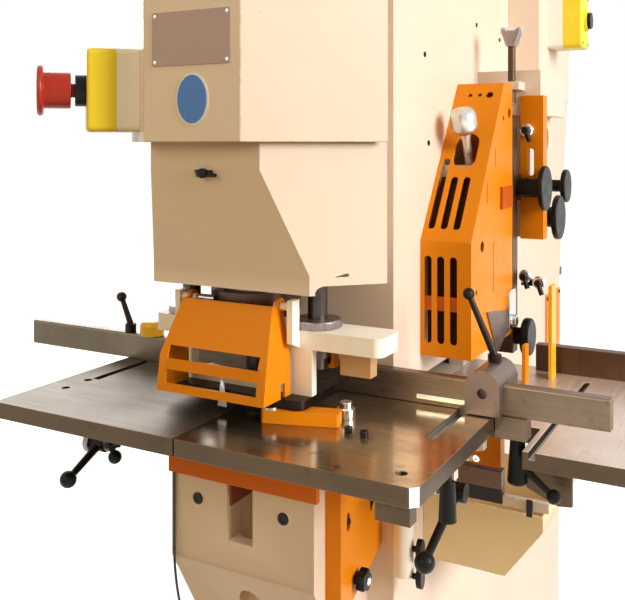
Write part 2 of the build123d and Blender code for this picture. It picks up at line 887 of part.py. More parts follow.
def make_stripper():
    """Studs with their lock nuts, adjusting wheels, cast arm and foot of the stripper."""
    low = stripper_top - stripper_thickness
    nut_top = low - seat_gap
    wheel_top = stripper_top + wheel_thickness
    bore = stud_radius + running_fit
    studs = []
    wheels = []
    for side in (-1, 1):
        y = side * stud_y
        stud = post(stud_x, y, stud_bottom, arm_bottom, stud_radius)
        stud += post(stud_x, y, nut_top - lock_nut_height, nut_top, stud_radius + lock_nut_rim)
        studs.append(stud)
        wheel = post(stud_x, y, stripper_top, wheel_top, wheel_radius)
        wheel = chamfer(wheel.edges().filter_by(GeomType.CIRCLE), wheel_chamfer)
        wheels.append(wheel - post(stud_x, y, stripper_top - overcut, wheel_top + overcut, bore))
    foot_low = stripper_foot_top - stripper_foot_thickness
    half = stripper_foot_half
    foot = block(stripper_foot_front, stripper_foot_back, -half, half, foot_low, stripper_foot_top)
    foot = fillet(foot.edges().filter_by(Axis.Z), stripper_foot_round)
    opening = punch_radius + stripper_foot_gap
    foot -= post(punch_x, 0, foot_low - overcut, stripper_foot_top + overcut, opening)
    half = stripper_inner_y
    bridge_back = stripper_front + stripper_leg_depth
    bridge_top = stripper_foot_top + stripper_bridge_height
    bridge = block(stripper_front, bridge_back, -half, half, stripper_foot_top, bridge_top)
    right = stripper_side(-1, stripper_right_end)
    left = stripper_side(1, stripper_left_end)
    save("stripper_studs", *studs)
    save("stripper_wheel_right", wheels[0])
    save("stripper_wheel_left", wheels[1])
    save("stripper_arm", right + left + bridge)
    save("stripper_foot", foot)


def guard_form(inset, reach):
    """Outer or inner form of the punch guard: a bent sheet narrowing to the top."""
    back = guard_back_x + reach
    top = guard_top + reach
    low = guard_bottom - reach
    profile = [
        (guard_foot_x + inset, low),
        (guard_knee_x + inset, guard_knee),
        (guard_top_x + inset, top),
        (back, top),
        (back, low),
    ]
    half = guard_half - inset
    top_half = guard_top_half - inset
    front = [
        (-half, low),
        (-half, guard_knee),
        (-top_half, top),
        (top_half, top),
        (half, guard_knee),
        (half, low),
    ]
    return side_profile(profile, -guard_half, guard_half) & front_profile(front, guard_foot_x, back)


def make_punch_guard():
    """Sheet guard in front of the punch, with two slots and swept sides."""
    guard = guard_form(0, 0) - guard_form(sheet, overcut)
    half = guard_half - guard_slot_margin
    for low, high in guard_slots:
        z0 = guard_bottom + low
        z1 = guard_bottom + high
        guard -= block(guard_foot_x - overcut, guard_foot_x + 10 * sheet, -half, half, z0, z1)
    notch_x = guard_back_x - guard_notch_inset
    notch_low = guard_bottom - overcut
    notch_top = guard_bottom + guard_notch_height
    y0 = -guard_half - overcut
    y1 = -guard_half + sheet + overcut
    guard -= block(notch_x, notch_x + guard_notch_width, y0, y1, notch_low, notch_top)
    for side in (-1, 1):
        wall = sorted((side * (guard_top_half - sheet), side * (guard_top_half + overcut)))
        guard += bar_y(guard_hinge_x, guard_hinge_h, *wall, guard_pin_radius + guard_eye_wall)
        y0, y1 = sorted((side * (guard_top_half - lug_thickness - overcut), side * (guard_half + overcut)))
        guard -= bar_y(guard_hinge_x, guard_hinge_h, y0, y1, guard_pin_radius + running_fit)
    save("punch_guard", guard)


def make_table():
    """Two table plates with a groove, accessory holes and a lever's hanger, cut round the die holder."""
    plates = []
    right = (-1, right_hole_y, right_holes, right_lever_pivot, right_lever_y)
    left = (1, left_hole_y, left_holes, left_lever_pivot, left_lever_y)
    for side, hole_y, holes, pivot, lever_y in (right, left):
        edge = table_split_y if side > 0 else table_split_y - table_split_gap
        y0, y1 = sorted((edge, side * table_half_width))
        plate = block(table_front, table_back, y0, y1, jaw_top, 0)
        plate -= post(punch_x, 0, jaw_top - overcut, overcut, holder_radius + bore_gap)
        middle = side * groove_y
        half = groove_width / 2
        groove_x = table_front + groove_start
        plate -= block(groove_x, table_back + overcut, middle - half, middle + half, -groove_depth, overcut)
        for place in holes:
            plate -= post(table_front + place, hole_y, jaw_top - overcut, overcut, table_hole_radius)
        front_corners = plate.edges().filter_by(Axis.Z).sort_by(Axis.X)[:2].sort_by(Axis.Y)
        plate = chamfer(front_corners[0] if side < 0 else front_corners[-1], table_corner)
        plates.append(plate + lever_hanger(pivot, lever_y, side))
    save("table_plate_right", plates[0])
    save("table_plate_left", plates[1])


def make_table_pieces():
    """Clamp bar that holds the die holder, and its bolt."""
    start = Vector(*clamp_start)
    end = Vector(*clamp_end)
    along = end - start
    plane = Plane(origin=(start + end) * 0.5, x_dir=along.normalized(), z_dir=(0, 0, 1))
    bar = extrude(plane * RectangleRounded(along.length, clamp_width, lever_radius), clamp_height)
    save("die_clamp_bar", bar)
    bolt = post(clamp_bolt_x, clamp_bolt_y, 0, clamp_bolt_height, clamp_bolt_radius)
    head_top = clamp_bolt_height + clamp_head_height
    bolt += post(clamp_bolt_x, clamp_bolt_y, clamp_bolt_height, head_top, clamp_head_radius)
    save("clamp_bolt", bolt)


def make_fence():
    """Fence bar with its keys, cap knob, clamping lever and end clamp."""
    bar = block(fence_front, fence_back, fence_right_end, fence_left_end, fence_low, fence_top)
    bar = chamfer(bar.edges().filter_by(Axis.Y).sort_by(Axis.Z)[-2:], fence_edge)
    key_half = groove_width / 2 - seat_gap
    key_low = fence_low - groove_depth + overcut
    for middle in (-groove_y, groove_y):
        bar += block(fence_front, fence_back, middle - key_half, middle + key_half, key_low, fence_low)
    save("fence_bar", bar)

    cap = post(fence_mid, groove_y, fence_top, fence_top + fence_knob_height, fence_knob_radius)
    save("fence_left_knob", fillet(cap.edges().sort_by(Axis.Z)[-1], fence_knob_round))

    hub_top = fence_top + lever_hub_height
    hub = post(fence_mid, fence_lever_y, fence_top, hub_top, lever_hub_radius)
    start = (fence_mid, fence_lever_y, hub_top - lever_root_drop)
    end = Vector(fence_mid, fence_lever_y, fence_top) + Vector(*fence_lever_end)
    save("fence_left_lever", hub + ball_lever(start, end, lever_radius, lever_ball_radius))

    shoe_outer = -table_half_width - shoe_length
    shoe_inner = -table_half_width - 3 * seat_gap
    x0 = fence_front - shoe_lip
    x1 = fence_back + shoe_lip
    shoe = block(x0, x1, shoe_outer, shoe_inner, -shoe_depth, fence_low)
    plane = Plane(origin=(fence_mid, shoe_outer + lever_hub_height, -shoe_depth), z_dir=(0, 0, -1))
    grip = loft([plane * Circle(grip_top_radius), plane.offset(grip_length) * Circle(grip_end_radius)])
    grip = fillet(grip.edges().sort_by(Axis.Z)[0], shoe_lip)
    start = (fence_mid, shoe_outer + lever_hub_height, -shoe_depth - clamp_arm_drop)
    reach, drop = clamp_arm_end
    end = (fence_mid, start[1] - reach, -shoe_depth - drop)
    save("fence_clamp", shoe + grip + ball_lever(start, end, lever_radius, clamp_arm_ball))


def make_stop_block():
    """Block that slides along the fence, and the lever that clamps it."""
    half = stop_block_width / 2
    top = stop_block_lift + stop_block_height
    centre = top - half
    y0 = stop_block_y - half
    y1 = stop_block_y + half
    body = block(stop_block_front, stop_block_back, y0, y1, stop_block_lift, centre)
    body += bar_x(stop_block_y, centre, stop_block_front, stop_block_back, half)
    slot_front = fence_front - seat_gap
    slot_back = fence_back + seat_gap
    body -= block(slot_front, slot_back, y0 - overcut, y1 + overcut, 0, fence_top + seat_gap)
    bore_end = stop_block_front + stop_bore_depth
    body -= bar_x(stop_block_y, stop_bore_h, stop_block_front - overcut, bore_end, stop_bore_radius)
    lever_x = fence_back + stop_lever_back
    stem_bore = lever_radius + running_fit
    body -= post(lever_x, stop_block_y, top - stop_stem_depth - overcut, top + overcut, stem_bore)
    save("stop_block", body)
    hub = post(lever_x, stop_block_y, top + seat_gap, top + lever_hub_radius, lever_hub_radius)
    hub += post(lever_x, stop_block_y, top - stop_stem_depth, top + seat_gap, lever_radius)
    start = (lever_x, stop_block_y, top + lever_hub_radius - lever_root_drop)
    end = Vector(lever_x, stop_block_y, top) + Vector(*stop_lever_end)
    save("stop_lever", hub + ball_lever(start, end, lever_radius, lever_ball_radius))


def make_under_table():
    """Strip across the jaw's front, side cover and its knob."""
    strip_front = jaw_front - strip_thickness
    strip = block(strip_front, jaw_front, -arm_half - strip_reach, arm_half, strip_bottom, strip_top)
    save("jaw_strip", strip)
    cover_y = -arm_half - side_cover_depth
    heel_x = side_cover_back - side_cover_heel_run
    outline = [
        (side_cover_front, side_cover_top),
        (side_cover_back, side_cover_top),
        (side_cover_back, side_cover_heel),
        (heel_x, side_cover_bottom),
        (side_cover_front, side_cover_bottom),
    ]
    hollow = [
        (side_cover_front + sheet, side_cover_top - sheet),
        (side_cover_back + overcut, side_cover_top - sheet),
        (side_cover_back + overcut, side_cover_heel + sheet),
        (heel_x, side_cover_bottom + sheet),
        (side_cover_front + sheet, side_cover_bottom + sheet),
    ]
    cover = side_profile(outline, cover_y, -arm_half)
    cover -= side_profile(hollow, cover_y + sheet, -arm_half + overcut)
    cover -= block(body_front, side_cover_back + overcut, wall_y, -arm_half + overcut, jaw_root, 0)
    for place in side_cover_slots:
        x = side_cover_front + place
        plane = Plane(origin=(x, cover_y, side_cover_slot_h), x_dir=(0, 0, 1), z_dir=(0, -1, 0))
        slot = SlotOverall(side_cover_slot_length, side_cover_slot_width)
        cover -= extrude(plane * slot, 2 * sheet, both=True)
    save("side_cover", cover)
    knob_outer = cover_y - cover_knob_length
    knob = bar_y(cover_knob_x, cover_knob_h, knob_outer, cover_y - seat_gap, cover_knob_radius)
    save("side_cover_knob", knob)


def hand_lever(name, pivot, end, y, side):
    """Hand lever below the table: hub, pin through its hanger, tapered rod and ball."""
    x, height = pivot
    outer = y + side * (seat_gap + 2 * hand_lever_hub)
    hub = bar_y(x, height, *sorted((y + side * seat_gap, outer)), hand_lever_hub)
    pin_end = y - side * hanger_thickness
    hub += bar_y(x, height, *sorted((pin_end, y + side * seat_gap)), hand_lever_pin)
    middle = y + side * (seat_gap + hand_lever_hub)
    lever = ball_lever((x, middle, height), (end[0], middle, end[1]), hand_lever_rod, hand_lever_ball)
    save(name, hub + lever)


def make_lead():
    """Lead down the jaw's left front corner, and back below the jaw into the body."""
    start_x = jaw_front - lead_stand
    points = [
        (start_x, lead_y, strip_bottom),
        (start_x, lead_y, lead_turn_h),
        (body_front - lead_reach, lead_y, lead_end_h),
        (body_front, lead_y, lead_end_h),
    ]
    radii = []
    for before, point, after in zip(points, points[1:], points[2:]):
        run_in = Vector(*point) - Vector(*before)
        run_out = Vector(*after) - Vector(*point)
        half_turn = radians(run_in.get_angle(run_out) / 2)
        radii.append(lead_bend_share * min(run_in.length, run_out.length) / tan(half_turn))
    print("lead radii", [round(radius, 1) for radius in radii])
    path = FilletPolyline(*points, radius=radii)
    section = Plane(origin=path @ 0, z_dir=path % 0) * Circle(lead_radius)
    save("jaw_lead", sweep(section, path=path))


def guard_slope_plane(y, share):
    """Plane on the shear guard's sloping panel, x up the slope and normal outwards."""
    run = shear_guard_top_front - shear_guard_front
    rise = shear_guard_top - shear_guard_knee
    origin = (shear_guard_front + run * share, y, shear_guard_knee + rise * share)
    return Plane(origin=origin, x_dir=(run, 0, rise), z_dir=(-rise, 0, run))


def slope_slot(y, low, high, width):
    """Cutter for a slot up the sloping panel, between two shares of its length."""
    run = shear_guard_top_front - shear_guard_front
    rise = shear_guard_top - shear_guard_knee
    length = (run**2 + rise**2) ** 0.5 * (high - low)
    plane = guard_slope_plane(y, (low + high) / 2)
    return extrude(plane * SlotOverall(length, width), 3 * sheet, both=True)


def make_shear_guard():
    """Sheet guard over the flat shear: vents in front and on the slope, notch and side holes."""
    outline = [
        (shear_guard_front, shear_guard_bottom),
        (shear_guard_front, shear_guard_knee),
        (shear_guard_top_front, shear_guard_top),
        (shear_guard_back, shear_guard_top),
        (shear_guard_back, shear_guard_bottom),
    ]
    run = shear_guard_top_front - shear_guard_front
    rise = shear_guard_top - shear_guard_knee
    slant = (run**2 + rise**2) ** 0.5
    knee_drop = sheet * (slant - rise) / run
    top_shift = sheet * (slant - run) / rise
    inner = [
        (shear_guard_front + sheet, shear_guard_bottom - overcut),
        (shear_guard_front + sheet, shear_guard_knee - knee_drop),
        (shear_guard_top_front + top_shift, shear_guard_top - sheet),
        (shear_guard_back - sheet, shear_guard_top - sheet),
        (shear_guard_back - sheet, shear_guard_bottom - overcut),
    ]
    guard = side_profile(outline, shear_guard_y, wall_y)
    guard -= side_profile(inner, shear_guard_y + sheet, wall_y + overcut)
    height = front_vent_high - front_vent_low
    middle = (front_vent_high + front_vent_low) / 2
    for y, share in zip(guard_vents, slope_vent_high):
        plane = Plane(origin=(shear_guard_front, y, middle), x_dir=(0, 0, 1), z_dir=(-1, 0, 0))
        guard -= extrude(plane * SlotOverall(height, guard_vent_width), 2 * sheet, both=True)
        guard -= slope_slot(y, slope_vent_low, share, guard_vent_width)
    guard -= slope_slot(hold_down_y, *hold_down_notch_share, 2 * hold_down_notch_radius)
    for y, radius in guard_top_holes:
        plane = guard_slope_plane(y, guard_top_holes_share)
        guard -= extrude(plane * Circle(radius), 3 * sheet, both=True)
    for (place, height), radius in guard_side_holes:
        x = table_front + place
        guard -= bar_y(x, height, shear_guard_y - overcut, shear_guard_y + sheet + overcut, radius)
    save("shear_guard", guard)


def make_shear_table():
    """Side table with its groove, and the feed guides on it."""
    under = shear_table_h - shear_table_thickness
    neck_x = body_front + shear_table_neck
    top = shear_table_h
    table = block(shear_table_front, shear_table_back, shear_table_outer, shear_table_inner, under, top)
    table += block(neck_x, shear_table_back, shear_table_inner, wall_y, under, top)
    groove_end = shear_table_back - shear_groove_stop
    groove_y1 = shear_table_inner - shear_groove_width
    groove_y0 = groove_y1 - shear_groove_width
    groove_front = shear_table_front - overcut
    table -= block(groove_front, groove_end, groove_y0, groove_y1, top - groove_depth, top + overcut)
    save("shear_table", table)
    guides = []
    for x0, x1, y0, y1, height in (guide_bar, guide_strap, guide_blade):
        guides.append(block(x0, x1, y0, y1, top, top + height))
    save("feed_guides", *guides)


def make_hold_down():
    """Clamping screw with its knurled knob, leaning through the guard's notch."""
    lean = radians(hold_down_tilt)
    direction = Vector(-sin(lean), 0, cos(lean))
    foot = Vector(hold_down_x, hold_down_y, hold_down_h)
    plane = Plane(origin=foot, x_dir=(0, 1, 0), z_dir=direction)
    spindle = extrude(plane * Circle(hold_down_spindle), hold_down_length)
    knob_plane = plane.offset(hold_down_length - hold_down_spindle)
    knob = extrude(knob_plane * Circle(hold_down_knob_radius), hold_down_knob_height)
    save("hold_down_knob", spindle + chamfer(knob.edges(), hold_down_knob_chamfer))


def black_knob(place, face_y, shank_radius, shank_length, disc_radius, disc_thickness):
    """A moulded knob with its axis across the machine."""
    x, height = place
    disc_y = face_y - shank_length
    shank = bar_y(x, height, disc_y - overcut, face_y - seat_gap, shank_radius)
    disc = bar_y(x, height, disc_y - disc_thickness, disc_y, disc_radius)
    return shank + fillet(disc.edges(), disc_thickness * knob_round_share)


def make_section_shear():
    """Rail, housing block with its bracket, T-screw, guard and knobs of the section shear."""
    rail_face = wall_y - rail_depth
    arm_length, arm_thickness, arm_low, arm_high = rail_arm
    rail_back = rail_x + rail_width
    rail = block(rail_x, rail_back, rail_face, wall_y, rail_bottom, rail_top)
    rail += block(rail_back, rail_back + arm_length, rail_face, rail_face + arm_thickness, arm_low, arm_high)
    save("shear_rail", rail)

    top = section_block_top
    bracket_front = section_block_front - bracket_reach
    housing = block(section_block_front, section_block_back, block_face_y, wall_y, section_block_bottom, top)
    bracket_end = section_x + bracket_back
    housing += block(bracket_front, bracket_end, wall_y - bracket_depth, wall_y, top, top + bracket_height)
    lug_low, lug_high = screw_lug_h
    lug = block(bracket_front - screw_lug_reach, bracket_front, *screw_lug_y, top + lug_low, top + lug_high)
    screw_x = bracket_front - screw_lug_reach / 2
    screw_y = sum(screw_lug_y) / 2
    lug -= post(screw_x, screw_y, top, top + bracket_height, t_screw_radius + running_fit)
    housing += lug
    housing -= bar_y(section_x, section_h, block_face_y - overcut, wall_y + overcut, section_bore)
    save("section_block", housing)

    screw_low = top + t_screw_low
    screw_top = screw_low + t_screw_length
    screw = post(screw_x, screw_y, screw_low, screw_top, t_screw_radius)
    screw += bar_y(screw_x, screw_top, screw_y - t_bar_half, screw_y + t_bar_half, t_bar_radius)
    save("t_screw", screw)

    outer, inner = section_guard_y
    guard_front = bracket_front - sheet
    guard_high = top + section_guard_rise
    panel = block(guard_front, bracket_front, outer, inner, section_block_bottom, guard_high)
    slot_h, slot_height, slot_width = section_guard_slot
    slot_plane = Plane(origin=(guard_front, (outer + inner) / 2, slot_h), x_dir=(0, 0, 1), z_dir=(-1, 0, 0))
    panel -= extrude(slot_plane * SlotOverall(slot_height, slot_width), 2 * sheet, both=True)
    cheek_end = section_block_front - overcut
    panel += block(guard_front, cheek_end, outer - sheet, outer, section_block_bottom, guard_high)
    save("section_guard", panel)

    rail_middle = rail_x + rail_width / 2
    save("knob_upper", black_knob(knob_upper_place, rail_face, *knob_upper_size))
    save("knob_lower", black_knob(knob_lower_place, block_face_y, *knob_lower_size))
    save("knob_rear", black_knob(knob_rear_place, block_face_y, *knob_rear_size))
    save("shear_knob", black_knob((rail_middle, shear_knob_h), rail_face, *shear_knob_size))


def make_cam_plate():
    """Plate with the blade gap cam's pin, on the shear guard's lower edge."""
    x1 = shear_guard_back - cam_inset
    x0 = x1 - cam_width
    outer = shear_guard_y - cam_thickness
    cam = block(x0, x1, outer, shear_guard_y, cam_low, cam_low + cam_height)
    cam = fillet(cam.edges().filter_by(Axis.Y), cam_round)
    pin_outer = outer - cam_thickness
    cam += bar_y((x0 + x1) / 2, cam_pin_h, pin_outer, outer + overcut, cam_pin_radius)
    save("cam_plate", cam)


def make_chute():
    """Folded sheet chute for offcuts, open at the top, hung on the side plate."""
    outer = [
        (wall_y, chute_top),
        (chute_lip_y, chute_top),
        (chute_lip_y, chute_top - chute_lip),
        (chute_floor_y, chute_floor),
        (wall_y, chute_floor),
    ]
    drop = chute_top - chute_lip - chute_floor
    run = chute_floor_y - chute_lip_y
    slant = (drop**2 + run**2) ** 0.5
    inner = [
        (wall_y + overcut, chute_top + overcut),
        (chute_lip_y + sheet, chute_top + overcut),
        (chute_lip_y + sheet, chute_top - chute_lip + sheet * (slant - drop) / run),
        (chute_floor_y + sheet * (slant - run) / drop, chute_floor + sheet),
        (wall_y + overcut, chute_floor + sheet),
    ]
    chute = front_profile(outer, chute_front, chute_back)
    chute -= front_profile(inner, chute_front + sheet, chute_back - sheet)
    save("offcut_chute", chute)


def make_shear_drive():
    """Moving beam, its blades and the cylinder above it."""
    roof = body_top - roof_plate
    bore_top = roof - cylinder_head
    beam = block(beam_front, beam_back, -beam_half, beam_half, beam_bottom, beam_top)
    beam -= bar_y(section_x, section_h, -beam_half - overcut, beam_half + overcut, section_bore)
    beam += post(shear_cylinder_x, 0, beam_top, bore_top - shear_rod_room, shear_rod_radius)
    save("shear_beam", beam)
    window_top = shear_table_h + window_height
    upper_low = window_top + blade_open
    upper_high = upper_low + upper_blade_height
    upper_y = -beam_half - blade_thickness
    save("upper_blade", block(window_front, window_back, upper_y, -beam_half, upper_low, upper_high))
    lower_y = upper_y - seat_gap
    low = shear_table_h - blade_height
    lower = block(window_front, window_back, lower_y - blade_thickness, lower_y, low, shear_table_h)
    save("lower_blade", lower)
    barrel_low = beam_top + shear_cylinder_gap
    barrel = post(shear_cylinder_x, 0, barrel_low, roof, shear_cylinder_radius)
    barrel -= post(shear_cylinder_x, 0, barrel_low - overcut, bore_top, shear_rod_radius + running_fit)
    save("shear_cylinder", barrel)


def make_notching():
    """Ram with its tool, and the table of the notching station."""
    half = notch_tool_half
    ram_low = notch_arm_bottom - notch_ram_reach
    ram = post(notch_x, 0, ram_low, ram_low + notch_ram_length, notch_ram_radius)
    ram += block(notch_x - half, notch_x + half, -half, half, notch_tool_bottom, ram_low)
    save("notch_ram", ram)
    clear = half + notch_tool_clear
    table = block(body_end_low, notch_table_end, -notch_half, notch_half, jaw_top, 0)
    table -= block(notch_x - clear, notch_x + clear, -clear, clear, jaw_top + notch_die_floor, overcut)
    save("notch_table", table)


def make_side_housing():
    """Upper side housing above the section shear."""
    face_y = wall_y - housing_depth
    housing = block(housing_front, housing_back, face_y, wall_y, housing_bottom, housing_top)
    edges = housing.edges().filter_by(Axis.Z).sort_by(Axis.Y)[:2]
    save("side_housing", fillet(edges, housing_edge))


save("main_frame", make_frame())
save("base_plinth", make_plinth())
save("head_cover", make_head_cover())
save("ram_cover", make_ram_cover())
make_stop_box()
make_punch_tooling()
make_stripper()
make_punch_guard()
make_table()
make_table_pieces()
make_fence()
make_stop_block()
make_under_table()
hand_lever("table_lever_right", right_lever_pivot, right_lever_end, right_lever_y, -1)
hand_lever("table_lever_left", left_lever_pivot, left_lever_end, left_lever_y, 1)
make_lead()
make_shear_guard()
make_shear_table()
make_hold_down()
make_section_shear()
make_cam_plate()
make_chute()
make_shear_drive()
make_notching()
make_side_housing()
make_panel_box()
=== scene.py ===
import json
import math
import bmesh
import bpy
from mathutils import Matrix, Vector

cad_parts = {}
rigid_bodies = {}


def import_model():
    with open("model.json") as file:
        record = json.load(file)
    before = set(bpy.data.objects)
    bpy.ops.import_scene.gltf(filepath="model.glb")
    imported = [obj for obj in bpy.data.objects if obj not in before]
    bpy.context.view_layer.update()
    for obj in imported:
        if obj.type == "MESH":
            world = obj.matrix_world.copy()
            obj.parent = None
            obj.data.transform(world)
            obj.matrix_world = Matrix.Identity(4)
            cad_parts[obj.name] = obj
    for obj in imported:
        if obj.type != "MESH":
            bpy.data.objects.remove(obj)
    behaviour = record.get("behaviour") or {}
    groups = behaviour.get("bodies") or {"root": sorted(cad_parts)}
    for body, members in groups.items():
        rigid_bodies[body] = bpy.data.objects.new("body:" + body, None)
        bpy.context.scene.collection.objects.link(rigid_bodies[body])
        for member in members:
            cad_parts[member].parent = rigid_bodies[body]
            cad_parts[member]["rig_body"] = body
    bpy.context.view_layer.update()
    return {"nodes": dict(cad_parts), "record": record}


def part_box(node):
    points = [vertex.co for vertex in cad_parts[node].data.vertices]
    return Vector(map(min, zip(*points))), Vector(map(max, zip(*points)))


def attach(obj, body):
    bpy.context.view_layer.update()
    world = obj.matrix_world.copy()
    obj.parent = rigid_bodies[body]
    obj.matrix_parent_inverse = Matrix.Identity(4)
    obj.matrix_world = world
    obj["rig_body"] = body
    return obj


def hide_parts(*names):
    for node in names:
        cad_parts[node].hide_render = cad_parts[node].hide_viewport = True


# Hydraulic ironworker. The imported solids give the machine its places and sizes, and this
# script adds their finishes, softened edges and small hardware. Metres, +Z up.

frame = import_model()
nodes = frame["nodes"]
MM = 0.001

# Places on the machine are given in millimetres from the punching table: u back from its
# front edge, y away from the operator and h up from its working face.
table_low, table_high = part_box("table_plate_left")
table_front = table_low.x
table_face = table_high.z


def at(u, y, h):
    """The place in metres."""
    return Vector((table_front + u * MM, y * MM, table_face + h * MM))


LEFT = Vector((0, 1, 0))
RIGHT = Vector((0, -1, 0))
FRONT = Vector((-1, 0, 0))
BACK = Vector((1, 0, 0))
UP = Vector((0, 0, 1))


def link(name, data):
    """A new object in the scene."""
    piece = bpy.data.objects.new(name, data)
    bpy.context.scene.collection.objects.link(piece)
    return piece


def feed(tree, value, socket):
    """Links another socket to this one, or sets its number or colour."""
    if isinstance(value, bpy.types.NodeSocket):
        tree.links.new(value, socket)
    elif isinstance(value, tuple):
        socket.default_value = (*value, 1.0)
    else:
        socket.default_value = value


def join_up(tree, pairs):
    """Links each first socket to its second."""
    for source, target in pairs:
        tree.links.new(source, target)


def colour_sockets(sockets):
    """A mix node has sockets of every type under the same names: these are its colours."""
    return [socket for socket in sockets if socket.type == "RGBA"]


# Camera, light and room

SHIFT_Y = -0.2528
HEADING = math.radians(28.7)
CAMERA_PLACE = (-1.593, -0.616, 1.295)
LENS = 49.2
SENSOR = 36.0
CLIP_START = 0.05

ROOM_TINT = (1.0, 0.80, 0.44)
ROOM_STRENGTH = 0.42
WHITE = (1.0, 1.0, 1.0)
# Name, place, the point that it faces, size, power, colour
LAMPS = [
    ("key", (-0.8, -3.8, 2.5), (-0.1, 0.0, 1.15), 1.9, 176.0, (1.0, 0.995, 0.97)),
    ("front_fill", (-3.9, 0.9, 3.0), (-0.5, 0.0, 1.4), 2.2, 38.0, (1.0, 0.88, 0.62)),
    ("back_fill", (2.6, 3.4, 2.8), (0.2, 0.0, 1.0), 2.4, 70.0, WHITE),
]

FLOOR_REACH = 14.0
FLOOR_DROP = 0.0005
FLOOR_BOUNCE = (0.33, 0.19, 0.06)
FLOOR_SEEN = (0.82, 0.82, 0.82)
FLOOR_GLOW = (0.90, 0.95, 1.0)
GLOW_STRENGTH = 0.85


def aim_camera():
    """Stands where the photographer stood, near the punching end at head height."""
    data = bpy.data.cameras.new("camera")
    data.sensor_width = SENSOR
    data.lens = LENS
    data.shift_y = SHIFT_Y
    data.clip_start = CLIP_START
    camera = link("camera", data)
    look = Vector((math.cos(HEADING), math.sin(HEADING), 0.0))
    camera.location = CAMERA_PLACE
    camera.rotation_mode = "QUATERNION"
    camera.rotation_quaternion = look.to_track_quat("-Z", "Y")
    bpy.context.scene.camera = camera


def soft_lamp(name, place, target, size, power, colour):
    """A square studio lamp that faces a point."""
    data = bpy.data.lights.new(name, "AREA")
    data.shape = "SQUARE"
    data.size = size
    data.energy = power
    data.color = colour
    lamp = link(name, data)
    lamp.location = place
    lamp.rotation_mode = "QUATERNION"
    lamp.rotation_quaternion = (Vector(target) - Vector(place)).to_track_quat("-Z", "Y")


def seen_directly(tree):
    """One for rays from the camera, a mirror or glass, and nought for light on things."""
    path = tree.nodes.new("ShaderNodeLightPath")
    total = path.outputs["Is Camera Ray"]
    for name in ("Is Glossy Ray", "Is Transmission Ray"):
        larger = tree.nodes.new("ShaderNodeMath")
        larger.operation = "MAXIMUM"
        tree.links.new(total, larger.inputs[0])
        tree.links.new(path.outputs[name], larger.inputs[1])
        total = larger.outputs["Value"]
    return total


def backdrop(tree, colour, strength):
    """An even background of one colour."""
    node = tree.nodes.new("ShaderNodeBackground")
    feed(tree, colour, node.inputs["Color"])
    feed(tree, strength, node.inputs["Strength"])
    return node.outputs["Background"]


def studio():
    """Pale room light, a key on the operator's side and warm fills from the front and back."""
    world = bpy.data.worlds.new("studio")
    world.use_nodes = True
    bpy.context.scene.world = world
    tree = world.node_tree
    tree.nodes.clear()
    output = tree.nodes.new("ShaderNodeOutputWorld")
    mix = tree.nodes.new("ShaderNodeMixShader")
    join_up(tree, [
        (seen_directly(tree), mix.inputs["Fac"]),
        (backdrop(tree, ROOM_TINT, ROOM_STRENGTH), mix.inputs[1]),
        (backdrop(tree, WHITE, 1.0), mix.inputs[2]),
        (mix.outputs["Shader"], output.inputs["Surface"]),
    ])
    for lamp in LAMPS:
        soft_lamp(*lamp)
    bpy.context.scene.view_settings.view_transform = "Standard"


def studio_floor():
    """A floor that shows near white and keeps the shadow, and throws warm light back up."""
    mesh = bpy.data.meshes.new("floor")
    quarters = ((-1, -1), (1, -1), (1, 1), (-1, 1))
    corners = [(x * FLOOR_REACH, y * FLOOR_REACH, 0) for x, y in quarters]
    mesh.from_pydata(corners, [], [(0, 1, 2, 3)])
    floor = link("floor", mesh)
    floor.location.z = -FLOOR_DROP
    paint = bpy.data.materials.new("floor")
    paint.use_nodes = True
    tree = paint.node_tree
    tree.nodes.clear()
    seen = seen_directly(tree)
    tone = tree.nodes.new("ShaderNodeMix")
    tone.data_type = "RGBA"
    unseen_tone, seen_tone = colour_sockets(tone.inputs)
    feed(tree, FLOOR_BOUNCE, unseen_tone)
    feed(tree, FLOOR_SEEN, seen_tone)
    matt = tree.nodes.new("ShaderNodeBsdfDiffuse")
    glow = tree.nodes.new("ShaderNodeEmission")
    feed(tree, FLOOR_GLOW, glow.inputs["Color"])
    scale = tree.nodes.new("ShaderNodeMath")
    scale.operation = "MULTIPLY"
    scale.inputs[1].default_value = GLOW_STRENGTH
    both = tree.nodes.new("ShaderNodeAddShader")
    output = tree.nodes.new("ShaderNodeOutputMaterial")
    join_up(tree, [
        (seen, tone.inputs["Factor"]),
        (colour_sockets(tone.outputs)[0], matt.inputs["Color"]),
        (seen, scale.inputs[0]),
        (scale.outputs["Value"], glow.inputs["Strength"]),
        (matt.outputs["BSDF"], both.inputs[0]),
        (glow.outputs["Emission"], both.inputs[1]),
        (both.outputs["Shader"], output.inputs["Surface"]),
    ])
    mesh.materials.append(paint)


# Finishes

